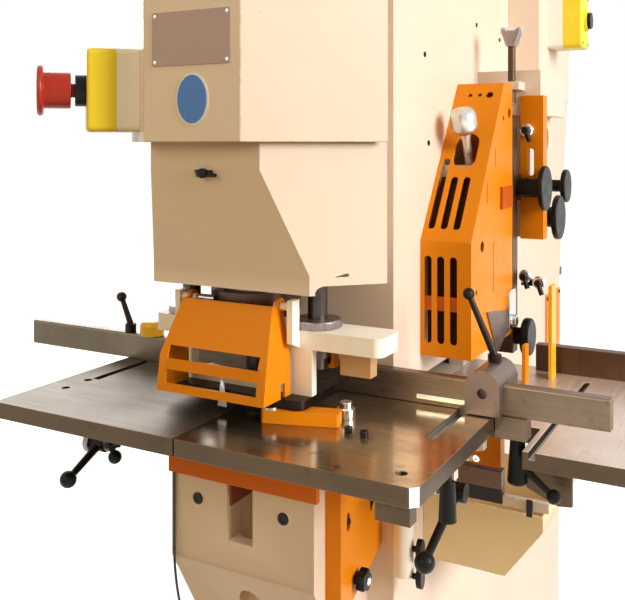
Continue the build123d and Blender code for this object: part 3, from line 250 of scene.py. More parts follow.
class Finish:
    """A node material under construction, read in object coordinates."""

    def __init__(self, name):
        self.material = bpy.data.materials.new(name)
        self.material.use_nodes = True
        self.tree = self.material.node_tree
        self.shader = self.tree.nodes["Principled BSDF"]
        self.place = self.tree.nodes.new("ShaderNodeTexCoord").outputs["Object"]

    def give(self, label, value):
        feed(self.tree, value, self.shader.inputs[label])

    def mapped(self, scale):
        mapping = self.tree.nodes.new("ShaderNodeMapping")
        mapping.inputs["Scale"].default_value = scale
        self.tree.links.new(self.place, mapping.inputs["Vector"])
        return mapping.outputs["Vector"]

    def noise(self, scale, detail=3.0, rough=0.5, stretch=None):
        node = self.tree.nodes.new("ShaderNodeTexNoise")
        node.inputs["Scale"].default_value = scale
        node.inputs["Detail"].default_value = detail
        node.inputs["Roughness"].default_value = rough
        source = self.mapped(stretch) if stretch else self.place
        self.tree.links.new(source, node.inputs["Vector"])
        return node.outputs["Fac"]

    def spread(self, source, low, high, out_low=0.0, out_high=1.0):
        """Maps the range from low to high onto the range from out_low to out_high."""
        node = self.tree.nodes.new("ShaderNodeMapRange")
        node.inputs["From Min"].default_value = low
        node.inputs["From Max"].default_value = high
        node.inputs["To Min"].default_value = out_low
        node.inputs["To Max"].default_value = out_high
        self.tree.links.new(source, node.inputs["Value"])
        return node.outputs["Result"]

    def math(self, operation, first, second):
        node = self.tree.nodes.new("ShaderNodeMath")
        node.operation = operation
        node.use_clamp = True
        feed(self.tree, first, node.inputs[0])
        feed(self.tree, second, node.inputs[1])
        return node.outputs["Value"]

    def blend(self, factor, first, second):
        """The first colour where the factor is nought, and the second where it is one."""
        node = self.tree.nodes.new("ShaderNodeMix")
        node.data_type = "RGBA"
        self.tree.links.new(factor, node.inputs["Factor"])
        for socket, value in zip(colour_sockets(node.inputs), (first, second)):
            feed(self.tree, value, socket)
        return colour_sockets(node.outputs)[0]

    def bump(self, height, strength, distance):
        node = self.tree.nodes.new("ShaderNodeBump")
        node.inputs["Strength"].default_value = strength
        node.inputs["Distance"].default_value = distance
        self.tree.links.new(height, node.inputs["Height"])
        self.give("Normal", node.outputs["Normal"])

    def across(self, start, end):
        """Nought to one between two places along Y, with a wavering border."""
        split = self.tree.nodes.new("ShaderNodeSeparateXYZ")
        self.tree.links.new(self.place, split.inputs["Vector"])
        waver = self.spread(self.noise(5.0, 3.0), 0.3, 0.7, -0.04, 0.04)
        shifted = self.tree.nodes.new("ShaderNodeMath")
        self.tree.links.new(split.outputs["Y"], shifted.inputs[0])
        self.tree.links.new(waver, shifted.inputs[1])
        return self.spread(shifted.outputs["Value"], start, end)

    def rim(self):
        """One on the rounded edges of a softened piece, and nought on its faces."""
        node = self.tree.nodes.new("ShaderNodeAttribute")
        node.attribute_name = "rim"
        return node.outputs["Fac"]


def shade(colour, factor):
    """The colour, lighter or darker by a factor."""
    return tuple(min(1.0, channel * factor) for channel in colour)


GRIME = (0.20, 0.135, 0.075)


def enamel(name, colour, rough, bare, dirt, chipped=0.5, sheen=0.3):
    """Sprayed enamel: orange peel, a faint cloud, smears of dirt and chips along the rims."""
    finish = Finish(name)
    cloud = finish.spread(finish.noise(3.2, 2.0, 0.45), 0.3, 0.7)
    paint = finish.blend(cloud, shade(colour, 0.97), shade(colour, 1.02))
    smear = finish.noise(11.0, 5.0, 0.62, (1.0, 1.0, 0.28))
    paint = finish.blend(finish.spread(smear, 0.56, 0.82, 0.0, dirt), paint, GRIME)
    specks = finish.spread(finish.noise(210.0, 2.0, 0.5), 0.73, 0.78, 0.0, 0.45)
    paint = finish.blend(specks, paint, bare)
    chips = finish.spread(finish.noise(85.0, 4.0, 0.6), 0.53, 0.60, 0.0, chipped)
    paint = finish.blend(finish.math("MULTIPLY", finish.rim(), chips), paint, bare)
    finish.give("Base Color", paint)
    gloss = finish.spread(finish.noise(26.0), 0.3, 0.7, rough - 0.04, rough + 0.07)
    finish.give("Roughness", gloss)
    finish.bump(finish.noise(520.0, 2.0), 0.16, 0.0004)
    finish.give("Specular IOR Level", sheen)
    return finish.material


def worked_steel(name, colour, stain, rough, grain, stain_amount=0.5, metal=0.9, drift=None):
    """Ground or drawn steel: fine grain, oil stains and bright rims.

    Drift is a second colour that takes over between two places along y.
    """
    finish = Finish(name)
    lines = finish.noise(1.0, 3.0, 0.7, grain)
    cloud = finish.spread(finish.noise(8.0, 5.0, 0.62), 0.45, 0.70, 0.0, stain_amount)
    spots = finish.spread(finish.noise(46.0, 3.0, 0.55), 0.62, 0.74, 0.0, stain_amount)
    tone = finish.blend(finish.spread(lines, 0.3, 0.7), shade(colour, 0.86), shade(colour, 1.06))
    if drift:
        drift_from, drift_to, drift_colour = drift
        tone = finish.blend(finish.across(drift_from, drift_to), tone, drift_colour)
    tone = finish.blend(cloud, tone, stain)
    tone = finish.blend(spots, tone, shade(stain, 0.8))
    worn = finish.math("MULTIPLY", finish.rim(), 0.6)
    tone = finish.blend(worn, tone, shade(colour, 1.5))
    finish.give("Base Color", tone)
    finish.give("Metallic", metal)
    streak = finish.spread(lines, 0.3, 0.7, rough - 0.06, rough + 0.08)
    dulled = finish.spread(cloud, 0.0, 1.0, 0.0, 0.16)
    finish.give("Roughness", finish.math("ADD", streak, dulled))
    finish.bump(lines, 0.10, 0.0002)
    return finish.material


def moulded(name, colour, rough, sheen=0.35):
    """Moulded plastic or rubber: fine matt grain, a little lighter where it is handled."""
    finish = Finish(name)
    rubbed = finish.spread(finish.noise(30.0, 3.0), 0.45, 0.75, 0.0, 0.4)
    handled = finish.math("MAXIMUM", rubbed, finish.math("MULTIPLY", finish.rim(), 0.5))
    lighter = tuple(min(1.0, channel * 1.25 + 0.012) for channel in colour)
    finish.give("Base Color", finish.blend(handled, colour, lighter))
    gloss = finish.spread(finish.noise(110.0), 0.3, 0.7, rough - 0.05, rough + 0.07)
    finish.give("Roughness", gloss)
    finish.bump(finish.noise(1500.0, 1.0), 0.08, 0.0003)
    finish.give("Specular IOR Level", sheen)
    return finish.material


# How finely the grain of a steel is drawn along each axis
ALONG_X = (6.0, 300.0, 300.0)
ALONG_Y = (300.0, 6.0, 300.0)
ALONG_Z = (260.0, 260.0, 9.0)
EVEN = (160.0, 160.0, 160.0)

# Enamels. Bare is the colour that shows where the paint is chipped.
CAST_BARE = (0.40, 0.33, 0.26)
cream = enamel("cream_enamel", (0.84, 0.71, 0.60), rough=0.33, bare=(0.62, 0.50, 0.34), dirt=0.05)
cream_cast = enamel(
    "cream_cast_paint", (0.97, 0.93, 0.88), rough=0.42, bare=CAST_BARE, dirt=0.18, chipped=0.8
)
# Painted shade: the cream cast paint darkened to tan, for the stripper's recessed web that lies in
# shade.
shaded_cast_tan = enamel(
    "cast_paint_painted_shade", (0.56, 0.34, 0.16), rough=0.42, bare=CAST_BARE, dirt=0.18, chipped=0.8
)
orange = enamel(
    "orange_enamel", (0.79, 0.250, 0.004), rough=0.34,
    bare=(0.42, 0.22, 0.08), dirt=0.16, chipped=0.7, sheen=0.16,
)
deep_orange = enamel(
    "deep_orange_enamel", (0.56, 0.105, 0.008), rough=0.38,
    bare=(0.40, 0.15, 0.05), dirt=0.16, sheen=0.15,
)
strip_orange = enamel(
    "red_orange_enamel", (0.76, 0.185, 0.02), rough=0.40,
    bare=(0.45, 0.15, 0.05), dirt=0.18, sheen=0.15,
)
# Painted shade: a brown for the shade inside the jaw's pocket.
pocket_shade_brown = enamel(
    "pocket_painted_shade", (0.36, 0.10, 0.05), rough=0.42, bare=(0.3, 0.12, 0.06), dirt=0.3
)
# Partly painted shade: a near-black for the shaded inside of the shear guard, where dark machinery
# also sits.
vent_shade_brown = enamel(
    "guard_painted_shade", (0.045, 0.014, 0.008), rough=0.6, bare=(0.08, 0.03, 0.02), dirt=0.3, sheen=0.05
)
grey_base = enamel(
    "dark_grey_enamel", (0.10, 0.10, 0.10), rough=0.45, bare=(0.2, 0.2, 0.2), dirt=0.3
)
sheet_cream = enamel(
    "chute_enamel", (0.97, 0.80, 0.50), rough=0.38, bare=(0.5, 0.4, 0.3), dirt=0.12
)
plate_mauve = enamel(
    "plate_print", (0.50, 0.38, 0.38), rough=0.42, bare=(0.6, 0.5, 0.45), dirt=0.10, chipped=0.3
)
disc_blue = enamel(
    "disc_blue", (0.096, 0.255, 0.74), rough=0.30, bare=(0.7, 0.7, 0.7), dirt=0.03, chipped=0.2
)
disc_white = enamel(
    "disc_white", (0.88, 0.88, 0.86), rough=0.32, bare=(0.6, 0.6, 0.58), dirt=0.04, chipped=0.2
)

# Steels
fence_steel = worked_steel(
    "drawn_bar_steel", (0.235, 0.170, 0.118), stain=(0.11, 0.065, 0.04),
    rough=0.36, grain=ALONG_Y, drift=(0.12, 0.30, (0.150, 0.125, 0.092)),
)
table_light = worked_steel(
    "ground_plate_light", (0.142, 0.110, 0.078), stain=(0.12, 0.09, 0.065),
    rough=0.44, grain=ALONG_Y, stain_amount=0.35,
)
# Painted reflection: towards the right the oiled plate turns pale tan, for the cream parts it
# reflects.
table_dark = worked_steel(
    "ground_plate_oiled", (0.17, 0.115, 0.07), stain=(0.12, 0.07, 0.038),
    rough=0.15, grain=ALONG_Y, stain_amount=0.6, drift=(-0.04, -0.22, (0.74, 0.58, 0.38)),
)
table_edge = worked_steel(
    "plate_edge_steel", (0.108, 0.073, 0.045), stain=(0.065, 0.045, 0.03), rough=0.42, grain=ALONG_Y
)
# Partly painted reflection: the pale colour stands in for the white room that the table's top
# reflects.
shear_top = worked_steel(
    "shear_table_steel", (0.86, 0.74, 0.68), stain=(0.55, 0.42, 0.36),
    rough=0.32, grain=ALONG_X, stain_amount=0.4, metal=0.6,
)
turned = worked_steel(
    "turned_steel", (0.36, 0.31, 0.295), stain=(0.18, 0.14, 0.12),
    rough=0.28, grain=ALONG_Z, stain_amount=0.3,
)
knob_silver = worked_steel(
    "polished_knob_steel", (0.70, 0.67, 0.62), stain=(0.40, 0.35, 0.30),
    rough=0.32, grain=ALONG_Z, stain_amount=0.3,
)
bright = worked_steel(
    "bright_steel", (0.82, 0.81, 0.79), stain=(0.5, 0.46, 0.42),
    rough=0.16, grain=EVEN, stain_amount=0.15, metal=1.0,
)
tool = worked_steel(
    "tool_steel", (0.085, 0.068, 0.060), stain=(0.04, 0.028, 0.022), rough=0.34, grain=ALONG_Z
)
brown_steel = worked_steel(
    "oiled_brown_steel", (0.105, 0.052, 0.028), stain=(0.05, 0.022, 0.012),
    rough=0.36, grain=ALONG_Z, metal=0.6,
)
dark_steel = worked_steel(
    "blackened_steel", (0.022, 0.018, 0.016), stain=(0.05, 0.03, 0.02),
    rough=0.36, grain=EVEN, stain_amount=0.3,
)
block_steel = worked_steel(
    "milled_block_steel", (0.25, 0.187, 0.160), stain=(0.15, 0.09, 0.065),
    rough=0.38, grain=ALONG_X, stain_amount=0.4,
)

# Mouldings
black = moulded("black_moulding", (0.006, 0.005, 0.004), rough=0.34, sheen=0.16)
red = moulded("red_moulding", (0.40, 0.028, 0.011), rough=0.32, sheen=0.25)
yellow = moulded("yellow_moulding", (0.94, 0.74, 0.03), rough=0.36)
box_grey = moulded("pale_grey_moulding", (0.97, 0.97, 0.95), rough=0.45)
amber = moulded("amber_moulding", (0.90, 0.47, 0.02), rough=0.28)
sheath = moulded("lead_sheath", (0.014, 0.013, 0.013), rough=0.45)

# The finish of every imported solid
NODE_FINISH = {
    cream: ["main_frame", "head_cover", "ram_cover", "section_block", "side_housing"],
    cream_cast: ["stripper_arm"],
    sheet_cream: ["offcut_chute"],
    grey_base: ["base_plinth"],
    orange: ["punch_guard", "die_clamp_bar", "side_cover", "shear_guard", "section_guard"],
    strip_orange: ["jaw_strip"],
    box_grey: ["stop_base", "panel_base"],
    yellow: ["stop_lid", "panel_lid"],
    red: ["stop_mushroom"],
    amber: ["fence_left_knob"],
    black: [
        "stop_collar", "knob_upper", "knob_lower", "knob_rear", "shear_knob", "panel_button",
        "table_lever_right", "table_lever_left",
    ],
    sheath: ["jaw_lead"],
    fence_steel: ["fence_bar", "fence_clamp"],
    block_steel: ["stop_block"],
    dark_steel: ["stripper_foot", "fence_left_lever", "stop_lever"],
    table_light: ["table_plate_left", "notch_table"],
    table_dark: ["table_plate_right"],
    shear_top: ["shear_table"],
    turned: ["stripper_wheel_right", "stripper_wheel_left", "punch_ram"],
    bright: ["cam_plate", "clamp_bolt"],
    brown_steel: ["ram_nut", "t_screw", "shear_rail", "feed_guides"],
    tool: [
        "punch", "die", "die_holder", "upper_blade", "lower_blade", "punch_cylinder",
        "shear_cylinder", "notch_ram", "shear_beam", "stripper_studs",
    ],
}

BODY_OF = {name: nodes[name]["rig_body"] for name in nodes}
SLOT_OF = {row["node"]: row["material_slot"] for row in frame["record"]["subparts"]}

# Widths of the rounded edges in millimetres
SMALL_EDGE = 0.7
EDGE = {
    "main_frame": 2.2, "head_cover": 3.0, "ram_cover": 2.6, "punch_guard": 1.1,
    "shear_guard": 1.3, "side_cover": 1.1, "section_guard": 1.0, "offcut_chute": 1.1,
    "side_housing": 2.0, "section_block": 1.4, "stripper_arm": 2.2, "base_plinth": 1.8,
    "table_plate_left": 0.9, "table_plate_right": 0.9, "shear_table": 1.0,
    "stop_block": 1.0, "fence_bar": 0.8, "stop_lid": 1.4, "panel_lid": 1.4,
    "stop_mushroom": 1.6,
}
EDGE_STEPS = 2
SOFT_ANGLE = math.radians(38)
SHARP_ANGLE = math.radians(32)
FLAT_ANGLE = math.radians(1.0)
WELD = 1e-6
FACE_WEIGHT = 80


# Meshes

def applied(piece):
    """The piece with its modifiers turned into plain mesh."""
    bpy.context.view_layer.update()
    graph = bpy.context.evaluated_depsgraph_get()
    mesh = bpy.data.meshes.new_from_object(piece.evaluated_get(graph))
    piece.modifiers.clear()
    piece.data = mesh
    return mesh


def smooth(mesh):
    """Smooth faces, with the sharp edges kept."""
    mesh.polygons.foreach_set("use_smooth", [True] * len(mesh.polygons))
    mesh.set_sharp_from_angle(angle=SHARP_ANGLE)


def rounded(piece, width, material):
    """Rounds the sharp edges, marks them with the rim attribute, and applies the result.

    The bevel puts its faces in a second slot, which shows them until they are marked.
    """
    piece.data.materials.clear()
    piece.data.materials.append(material)
    piece.data.materials.append(material)
    bevel = piece.modifiers.new("edges", "BEVEL")
    bevel.width = width * MM
    bevel.segments = EDGE_STEPS
    bevel.limit_method = "ANGLE"
    bevel.angle_limit = SOFT_ANGLE
    bevel.use_clamp_overlap = True
    bevel.material = 1
    mesh = applied(piece)
    marks = [0] * len(mesh.polygons)
    mesh.polygons.foreach_get("material_index", marks)
    rim = mesh.attributes.new("rim", "FLOAT", "FACE")
    rim.data.foreach_set("value", [float(mark) for mark in marks])
    mesh.polygons.foreach_set("material_index", [0] * len(marks))
    mesh.materials.pop(index=1)
    smooth(mesh)
    level = piece.modifiers.new("flat_faces", "WEIGHTED_NORMAL")
    level.mode = "FACE_AREA"
    level.keep_sharp = True
    level.weight = FACE_WEIGHT
    applied(piece)


def softened(name, material):
    """A copy of a solid with small rounded edges, standing for it."""
    mesh = bpy.data.meshes.new(name + "_skin")
    work = bmesh.new()
    work.from_mesh(nodes[name].data)
    bmesh.ops.remove_doubles(work, verts=work.verts, dist=WELD)
    bmesh.ops.dissolve_limit(
        work, angle_limit=FLAT_ANGLE, verts=work.verts, edges=work.edges, delimit={"NORMAL"}
    )
    work.to_mesh(mesh)
    work.free()
    piece = link(name + "_skin", mesh)
    rounded(piece, EDGE.get(name, SMALL_EDGE), material)
    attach(piece, BODY_OF[name])
    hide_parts(name)
    return piece


BOX_FACES = ((0, 2, 3, 1), (4, 5, 7, 6), (0, 1, 5, 4), (1, 3, 7, 5), (3, 2, 6, 7), (2, 0, 4, 6))
ROD_SIDES = 20


class Form:
    """A mesh built from turned, boxed and extruded shapes, placed with at()."""

    def __init__(self):
        self.work = bmesh.new()

    def turned(self, profile, foot, axis, sides=32, lobes=0, lobe_depth=0.0):
        """A shape turned round an axis, from points (radius, distance along it) in millimetres."""
        turn = axis.to_track_quat("Z", "Y").to_matrix().to_4x4()
        place = Matrix.Translation(foot) @ turn
        rings = []
        for radius, height in profile:
            if radius == 0:
                rings.append([self.work.verts.new(place @ Vector((0, 0, height * MM)))])
                continue
            ring = []
            for step in range(sides):
                angle = 2 * math.pi * step / sides
                reach = radius * (1 + lobe_depth * math.cos(lobes * angle)) * MM
                spot = Vector((reach * math.cos(angle), reach * math.sin(angle), height * MM))
                ring.append(self.work.verts.new(place @ spot))
            rings.append(ring)
        for ring, after in zip(rings, rings[1:]):
            for step in range(sides):
                following = (step + 1) % sides
                corners = [
                    ring[step % len(ring)], ring[following % len(ring)],
                    after[following % len(after)], after[step % len(after)],
                ]
                unique = list(dict.fromkeys(corners))
                if len(unique) > 2:
                    self.work.faces.new(unique)
        return self

    def box(self, low, high):
        """A box between two places."""
        x0, y0, z0 = (min(a, b) for a, b in zip(low, high))
        x1, y1, z1 = (max(a, b) for a, b in zip(low, high))
        spots = [(x, y, z) for z in (z0, z1) for y in (y0, y1) for x in (x0, x1)]
        corner = [self.work.verts.new(spot) for spot in spots]
        for face in BOX_FACES:
            self.work.faces.new([corner[index] for index in face])
        return self

    def slab(self, outline, origin, across, normal, depth):
        """A flat outline of points in millimetres, given a thickness along its normal."""
        up = normal.cross(across)
        lower = [self.work.verts.new(origin + (across * a + up * b) * MM) for a, b in outline]
        upper = [self.work.verts.new(vert.co + normal * depth * MM) for vert in lower]
        self.work.faces.new(list(reversed(lower)))
        self.work.faces.new(upper)
        for index in range(len(outline)):
            after = (index + 1) % len(outline)
            self.work.faces.new([lower[index], lower[after], upper[after], upper[index]])
        return self

    def rod(self, start, end, radius):
        """A round rod between two places."""
        line = end - start
        return self.turned(cylinder(radius, line.length / MM), start, line.normalized(), ROD_SIDES)

    def finish(self, name, material, edge=0.0, body="frame", slot=None, replaces=()):
        """Makes the mesh a piece that rides on a body. The edge is in millimetres."""
        bmesh.ops.recalc_face_normals(self.work, faces=self.work.faces)
        mesh = bpy.data.meshes.new(name)
        self.work.to_mesh(mesh)
        self.work.free()
        piece = link(name, mesh)
        if edge:
            rounded(piece, edge, material)
        else:
            mesh.materials.append(material)
            smooth(mesh)
        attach(piece, body)
        if replaces:
            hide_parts(*replaces)


# Outlines, and profiles of turned shapes as points (radius, distance along the axis)

def oval(half_width, half_height, steps=40):
    """An ellipse."""
    turns = [2 * math.pi * step / steps for step in range(steps)]
    return [(half_width * math.cos(turn), half_height * math.sin(turn)) for turn in turns]


def oblong(half_width, half_height, corner, steps=5):
    """A rectangle with round corners."""
    points = []
    for quarter, (side, top) in enumerate(((1, 1), (-1, 1), (-1, -1), (1, -1))):
        for step in range(steps + 1):
            turn = math.pi / 2 * (quarter + step / steps)
            points.append((
                side * (half_width - corner) + corner * math.cos(turn),
                top * (half_height - corner) + corner * math.sin(turn),
            ))
    return points


def cylinder(radius, height):
    return [(0, 0), (radius, 0), (radius, height), (0, height)]


def button(radius, height, chamfer):
    """A cylinder with its far edge cut off at 45 degrees."""
    cut = [(radius, height - chamfer), (radius - chamfer, height)]
    return [(0, 0), (radius, 0), *cut, (0, height)]


def dome(radius, rise, foot, steps=5):
    """A shallow dome from its rim, at the foot's height, to its top."""
    turns = [math.pi / 2 * step / steps for step in range(steps)]
    curve = [(radius * math.cos(turn), foot + rise * math.sin(turn)) for turn in turns]
    return curve + [(0, foot + rise)]


def capped(radius, height, rise):
    """A cylinder with a dome on its far end."""
    return [(0, 0), (radius, 0)] + dome(radius, rise, height)


def ball(radius, steps=12):
    """Half a circle, centred on the axis."""
    turns = [math.pi * step / steps for step in range(steps + 1)]
    return [(radius * math.sin(turn), -radius * math.cos(turn)) for turn in turns]


# Geometry Nodes: socket screws on points, and knurls round a rim

SCREW_SIDES = 24
KNURL_SIDES = 6
# Shares of a screw head's height: its straight side, its chamfer and its socket's depth
SIDE_SHARE = 0.85
CHAMFER_SHARE = 0.15
SOCKET_SHARE = -0.6
# How much the chamfer and the socket's taper narrow a face
CHAMFER_NARROWS = 0.88
SOCKET_NARROWS = 0.9


def new_tree(name, inputs):
    """A node group that takes a geometry and the named inputs."""
    tree = bpy.data.node_groups.new(name, "GeometryNodeTree")
    tree.interface.new_socket("Geometry", in_out="INPUT", socket_type="NodeSocketGeometry")
    for label, kind in inputs:
        tree.interface.new_socket(label, in_out="INPUT", socket_type=kind)
    tree.interface.new_socket("Geometry", in_out="OUTPUT", socket_type="NodeSocketGeometry")
    return tree, tree.nodes.new("NodeGroupInput"), tree.nodes.new("NodeGroupOutput")


def scaled(tree, source, factor):
    """A socket's number times a factor."""
    node = tree.nodes.new("ShaderNodeMath")
    node.operation = "MULTIPLY"
    tree.links.new(source, node.inputs[0])
    node.inputs[1].default_value = factor
    return node.outputs["Value"]


def pushed(tree, geometry, picked, offset, scale=None):
    """Extrudes the picked faces, or all, by an offset, and scales what is now on top.

    Gives the geometry and the top faces.
    """
    push = tree.nodes.new("GeometryNodeExtrudeMesh")
    push.inputs["Individual"].default_value = False
    tree.links.new(geometry, push.inputs["Mesh"])
    if picked is not None:
        tree.links.new(picked, push.inputs["Selection"])
    feed(tree, offset, push.inputs["Offset Scale"])
    if scale is None:
        return push.outputs["Mesh"], push.outputs["Top"]
    shrink = tree.nodes.new("GeometryNodeScaleElements")
    join_up(tree, [
        (push.outputs["Mesh"], shrink.inputs["Geometry"]),
        (push.outputs["Top"], shrink.inputs["Selection"]),
    ])
    feed(tree, scale, shrink.inputs["Scale"])
    return shrink.outputs["Geometry"], push.outputs["Top"]


def stood_on_points(tree, source, target, form):
    """Stands a form on each point, along its facing attribute, and gives it the material."""
    facing = tree.nodes.new("GeometryNodeInputNamedAttribute")
    facing.data_type = "FLOAT_VECTOR"
    facing.inputs["Name"].default_value = "facing"
    align = tree.nodes.new("FunctionNodeAlignRotationToVector")
    align.axis = "Z"
    stand = tree.nodes.new("GeometryNodeInstanceOnPoints")
    real = tree.nodes.new("GeometryNodeRealizeInstances")
    dress = tree.nodes.new("GeometryNodeSetMaterial")
    join_up(tree, [
        (facing.outputs["Attribute"], align.inputs["Vector"]),
        (source.outputs["Geometry"], stand.inputs["Points"]),
        (form, stand.inputs["Instance"]),
        (align.outputs["Rotation"], stand.inputs["Rotation"]),
        (stand.outputs["Instances"], real.inputs["Geometry"]),
        (real.outputs["Geometry"], dress.inputs["Geometry"]),
        (source.outputs["Material"], dress.inputs["Material"]),
        (dress.outputs["Geometry"], target.inputs["Geometry"]),
    ])


def screw_tree():
    """Socket-headed screws: one on each point."""
    tree, source, target = new_tree("fastener_set", [
        ("Head Radius", "NodeSocketFloat"),
        ("Head Height", "NodeSocketFloat"),
        ("Socket Share", "NodeSocketFloat"),
        ("Material", "NodeSocketMaterial"),
    ])
    disc = tree.nodes.new("GeometryNodeMeshCircle")
    disc.fill_type = "NGON"
    disc.inputs["Vertices"].default_value = SCREW_SIDES
    tree.links.new(source.outputs["Head Radius"], disc.inputs["Radius"])
    height = source.outputs["Head Height"]
    head, top = pushed(tree, disc.outputs["Mesh"], None, scaled(tree, height, SIDE_SHARE))
    head, top = pushed(tree, head, top, scaled(tree, height, CHAMFER_SHARE), CHAMFER_NARROWS)
    head, top = pushed(tree, head, top, 0.0, source.outputs["Socket Share"])
    head, top = pushed(tree, head, top, scaled(tree, height, SOCKET_SHARE), SOCKET_NARROWS)
    stood_on_points(tree, source, target, head)
    return tree


def knurl_tree():
    """Straight knurls: ridges evenly spaced round a circle, along the circle's axis."""
    tree, source, target = new_tree("knurl_ring", [
        ("Ring Radius", "NodeSocketFloat"),
        ("Ridge Length", "NodeSocketFloat"),
        ("Ridge Radius", "NodeSocketFloat"),
        ("Ridge Count", "NodeSocketInt"),
        ("Material", "NodeSocketMaterial"),
    ])
    ring = tree.nodes.new("GeometryNodeMeshCircle")
    ridge = tree.nodes.new("GeometryNodeMeshCylinder")
    ridge.inputs["Vertices"].default_value = KNURL_SIDES
    spread = tree.nodes.new("GeometryNodeInstanceOnPoints")
    join_up(tree, [
        (source.outputs["Ridge Count"], ring.inputs["Vertices"]),
        (source.outputs["Ring Radius"], ring.inputs["Radius"]),
        (source.outputs["Ridge Radius"], ridge.inputs["Radius"]),
        (source.outputs["Ridge Length"], ridge.inputs["Depth"]),
        (ring.outputs["Mesh"], spread.inputs["Points"]),
        (ridge.outputs["Mesh"], spread.inputs["Instance"]),
    ])
    stood_on_points(tree, source, target, spread.outputs["Instances"])
    return tree


def grown(name, tree, places, facing, settings, body):
    """Runs a tree on points that face one way, and keeps the result as one plain piece."""
    mesh = bpy.data.meshes.new(name)
    mesh.from_pydata(places, [], [])
    ways = mesh.attributes.new("facing", "FLOAT_VECTOR", "POINT")
    for way in ways.data:
        way.vector = facing
    piece = link(name, mesh)
    modifier = piece.modifiers.new(tree.name, "NODES")
    modifier.node_group = tree
    sockets = {s.name: s.identifier for s in tree.interface.items_tree if s.in_out == "INPUT"}
    for label, value in settings.items():
        modifier[sockets[label]] = value
    smooth(applied(piece))
    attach(piece, body)


FASTENERS = screw_tree()
KNURLS = knurl_tree()


def screws(name, places, facing, radius, height, material=dark_steel, socket=0.52):
    """Screws on the frame. The socket's width is a share of the head's."""
    settings = {
        "Head Radius": radius * MM, "Head Height": height * MM,
        "Socket Share": socket, "Material": material,
    }
    grown(name, FASTENERS, places, facing, settings, "frame")


def knurls(name, place, facing, body, radius, length, ridge, count):
    """A knurled rim of turned steel round a place."""
    settings = {
        "Ring Radius": radius * MM, "Ridge Length": length * MM, "Ridge Radius": ridge * MM,
        "Ridge Count": count, "Material": turned,
    }
    grown(name, KNURLS, [place], facing, settings, body)


# The machine's own solids

# What a face's normal has to reach to count as upright, level, or facing a side
UPRIGHT = 0.4
LEVEL = 0.9
FACING = 0.5
DIAGONAL = 0.2
# How far from a named place a second finish reaches
GROOVE_REACH = 16 * MM
AMBER_REACH = 16 * MM
CORNER_REACH = 30 * MM


def second_finish(piece, material, chosen):
    """Gives the faces that pass the test, on their centre and normal, a finish of their own."""
    piece.data.materials.append(material)
    index = len(piece.data.materials) - 1
    for polygon in piece.data.polygons:
        if chosen(polygon.center, polygon.normal):
            polygon.material_index = index


def dress_solids():
    """Softens every solid in its finish, and gives parts of some a second one."""
    skin = {}
    for material, names in NODE_FINISH.items():
        for name in names:
            skin[name] = softened(name, material)

    # The fence clamp is black below its shoe
    shoe_bottom = at(0, 0, -27.5).z
    second_finish(skin["fence_clamp"], black, lambda centre, normal: centre.z < shoe_bottom)

    # Of the feed guides, the strap is orange and the upright post amber
    strap_start = at(0, -272, 0).y
    blade_back = at(600, 0, 0).x
    amber_post = at(582, 0, 0).x
    guides = skin["feed_guides"]
    second_finish(guides, orange, lambda centre, normal: (
        centre.x < blade_back and centre.y > strap_start
    ))
    second_finish(guides, amber, lambda centre, normal: abs(centre.x - amber_post) < AMBER_REACH)

    # The T-screw's head is bright, and the ram nut's left part dark
    head_bottom = at(0, 0, 521).z
    second_finish(skin["t_screw"], bright, lambda centre, normal: centre.z > head_bottom)
    nut_left = at(0, 21, 0).y
    second_finish(skin["ram_nut"], dark_steel, lambda centre, normal: centre.y > nut_left)

    for name in ("table_plate_left", "table_plate_right", "shear_table"):
        second_finish(skin[name], table_edge, lambda centre, normal: abs(normal.z) < UPRIGHT)
    # Painted highlights: lighter steel on the right plate's front chamfer and in its groove
    right_plate = skin["table_plate_right"]
    corner = at(10, -290, 0)
    second_finish(right_plate, bright, lambda centre, normal: (
        abs(normal.x - normal.y) < DIAGONAL and normal.x < -FACING
        and (centre - corner).length < CORNER_REACH
    ))
    # The groove's floor and the groove wall that faces the operator's side are painted lighter as
    # highlights.
    groove = at(20, -258, -1)
    second_finish(right_plate, knob_silver, lambda centre, normal: (
        abs(centre.y - groove.y) < GROOVE_REACH and centre.z < groove.z and centre.x > groove.x
        and (normal.z > LEVEL or normal.y < -FACING)
    ))


# Small hardware, region by region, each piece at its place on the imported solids

def span(name):
    """The low and high corner of a solid, in millimetres as at() takes them."""
    low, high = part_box(name)
    origin = at(0, 0, 0)
    return (low - origin) / MM, (high - origin) / MM


def middle(name):
    """The middle of a solid, in the same millimetres."""
    low, high = span(name)
    return (low + high) / 2


def shifted(place, u=0, y=0, h=0):
    """A place moved by millimetres."""
    return place + Vector((u, y, h)) * MM


def corners(place, across, width, height):
    """The four corners of an upright rectangle round a place."""
    halves = [(side * width / 2, rise * height / 2) for side in (-1, 1) for rise in (-1, 1)]
    return [place + (across * side + UP * rise) * MM for side, rise in halves]


# The faces that carry most of it
HEAD_FRONT = span("head_cover")[0].x
RAM_COVER_FRONT = span("ram_cover")[0].x
JAW_FRONT = span("jaw_strip")[1].x
BODY_SIDE = span("shear_guard")[1].y
GUARD_SIDE = span("shear_guard")[0].y
COVER_SIDE = span("side_cover")[0].y
CLAMP_BAR_TOP = span("die_clamp_bar")[1].z
# How far a thin plate starts inside the face that carries it
SUNK = 0.1


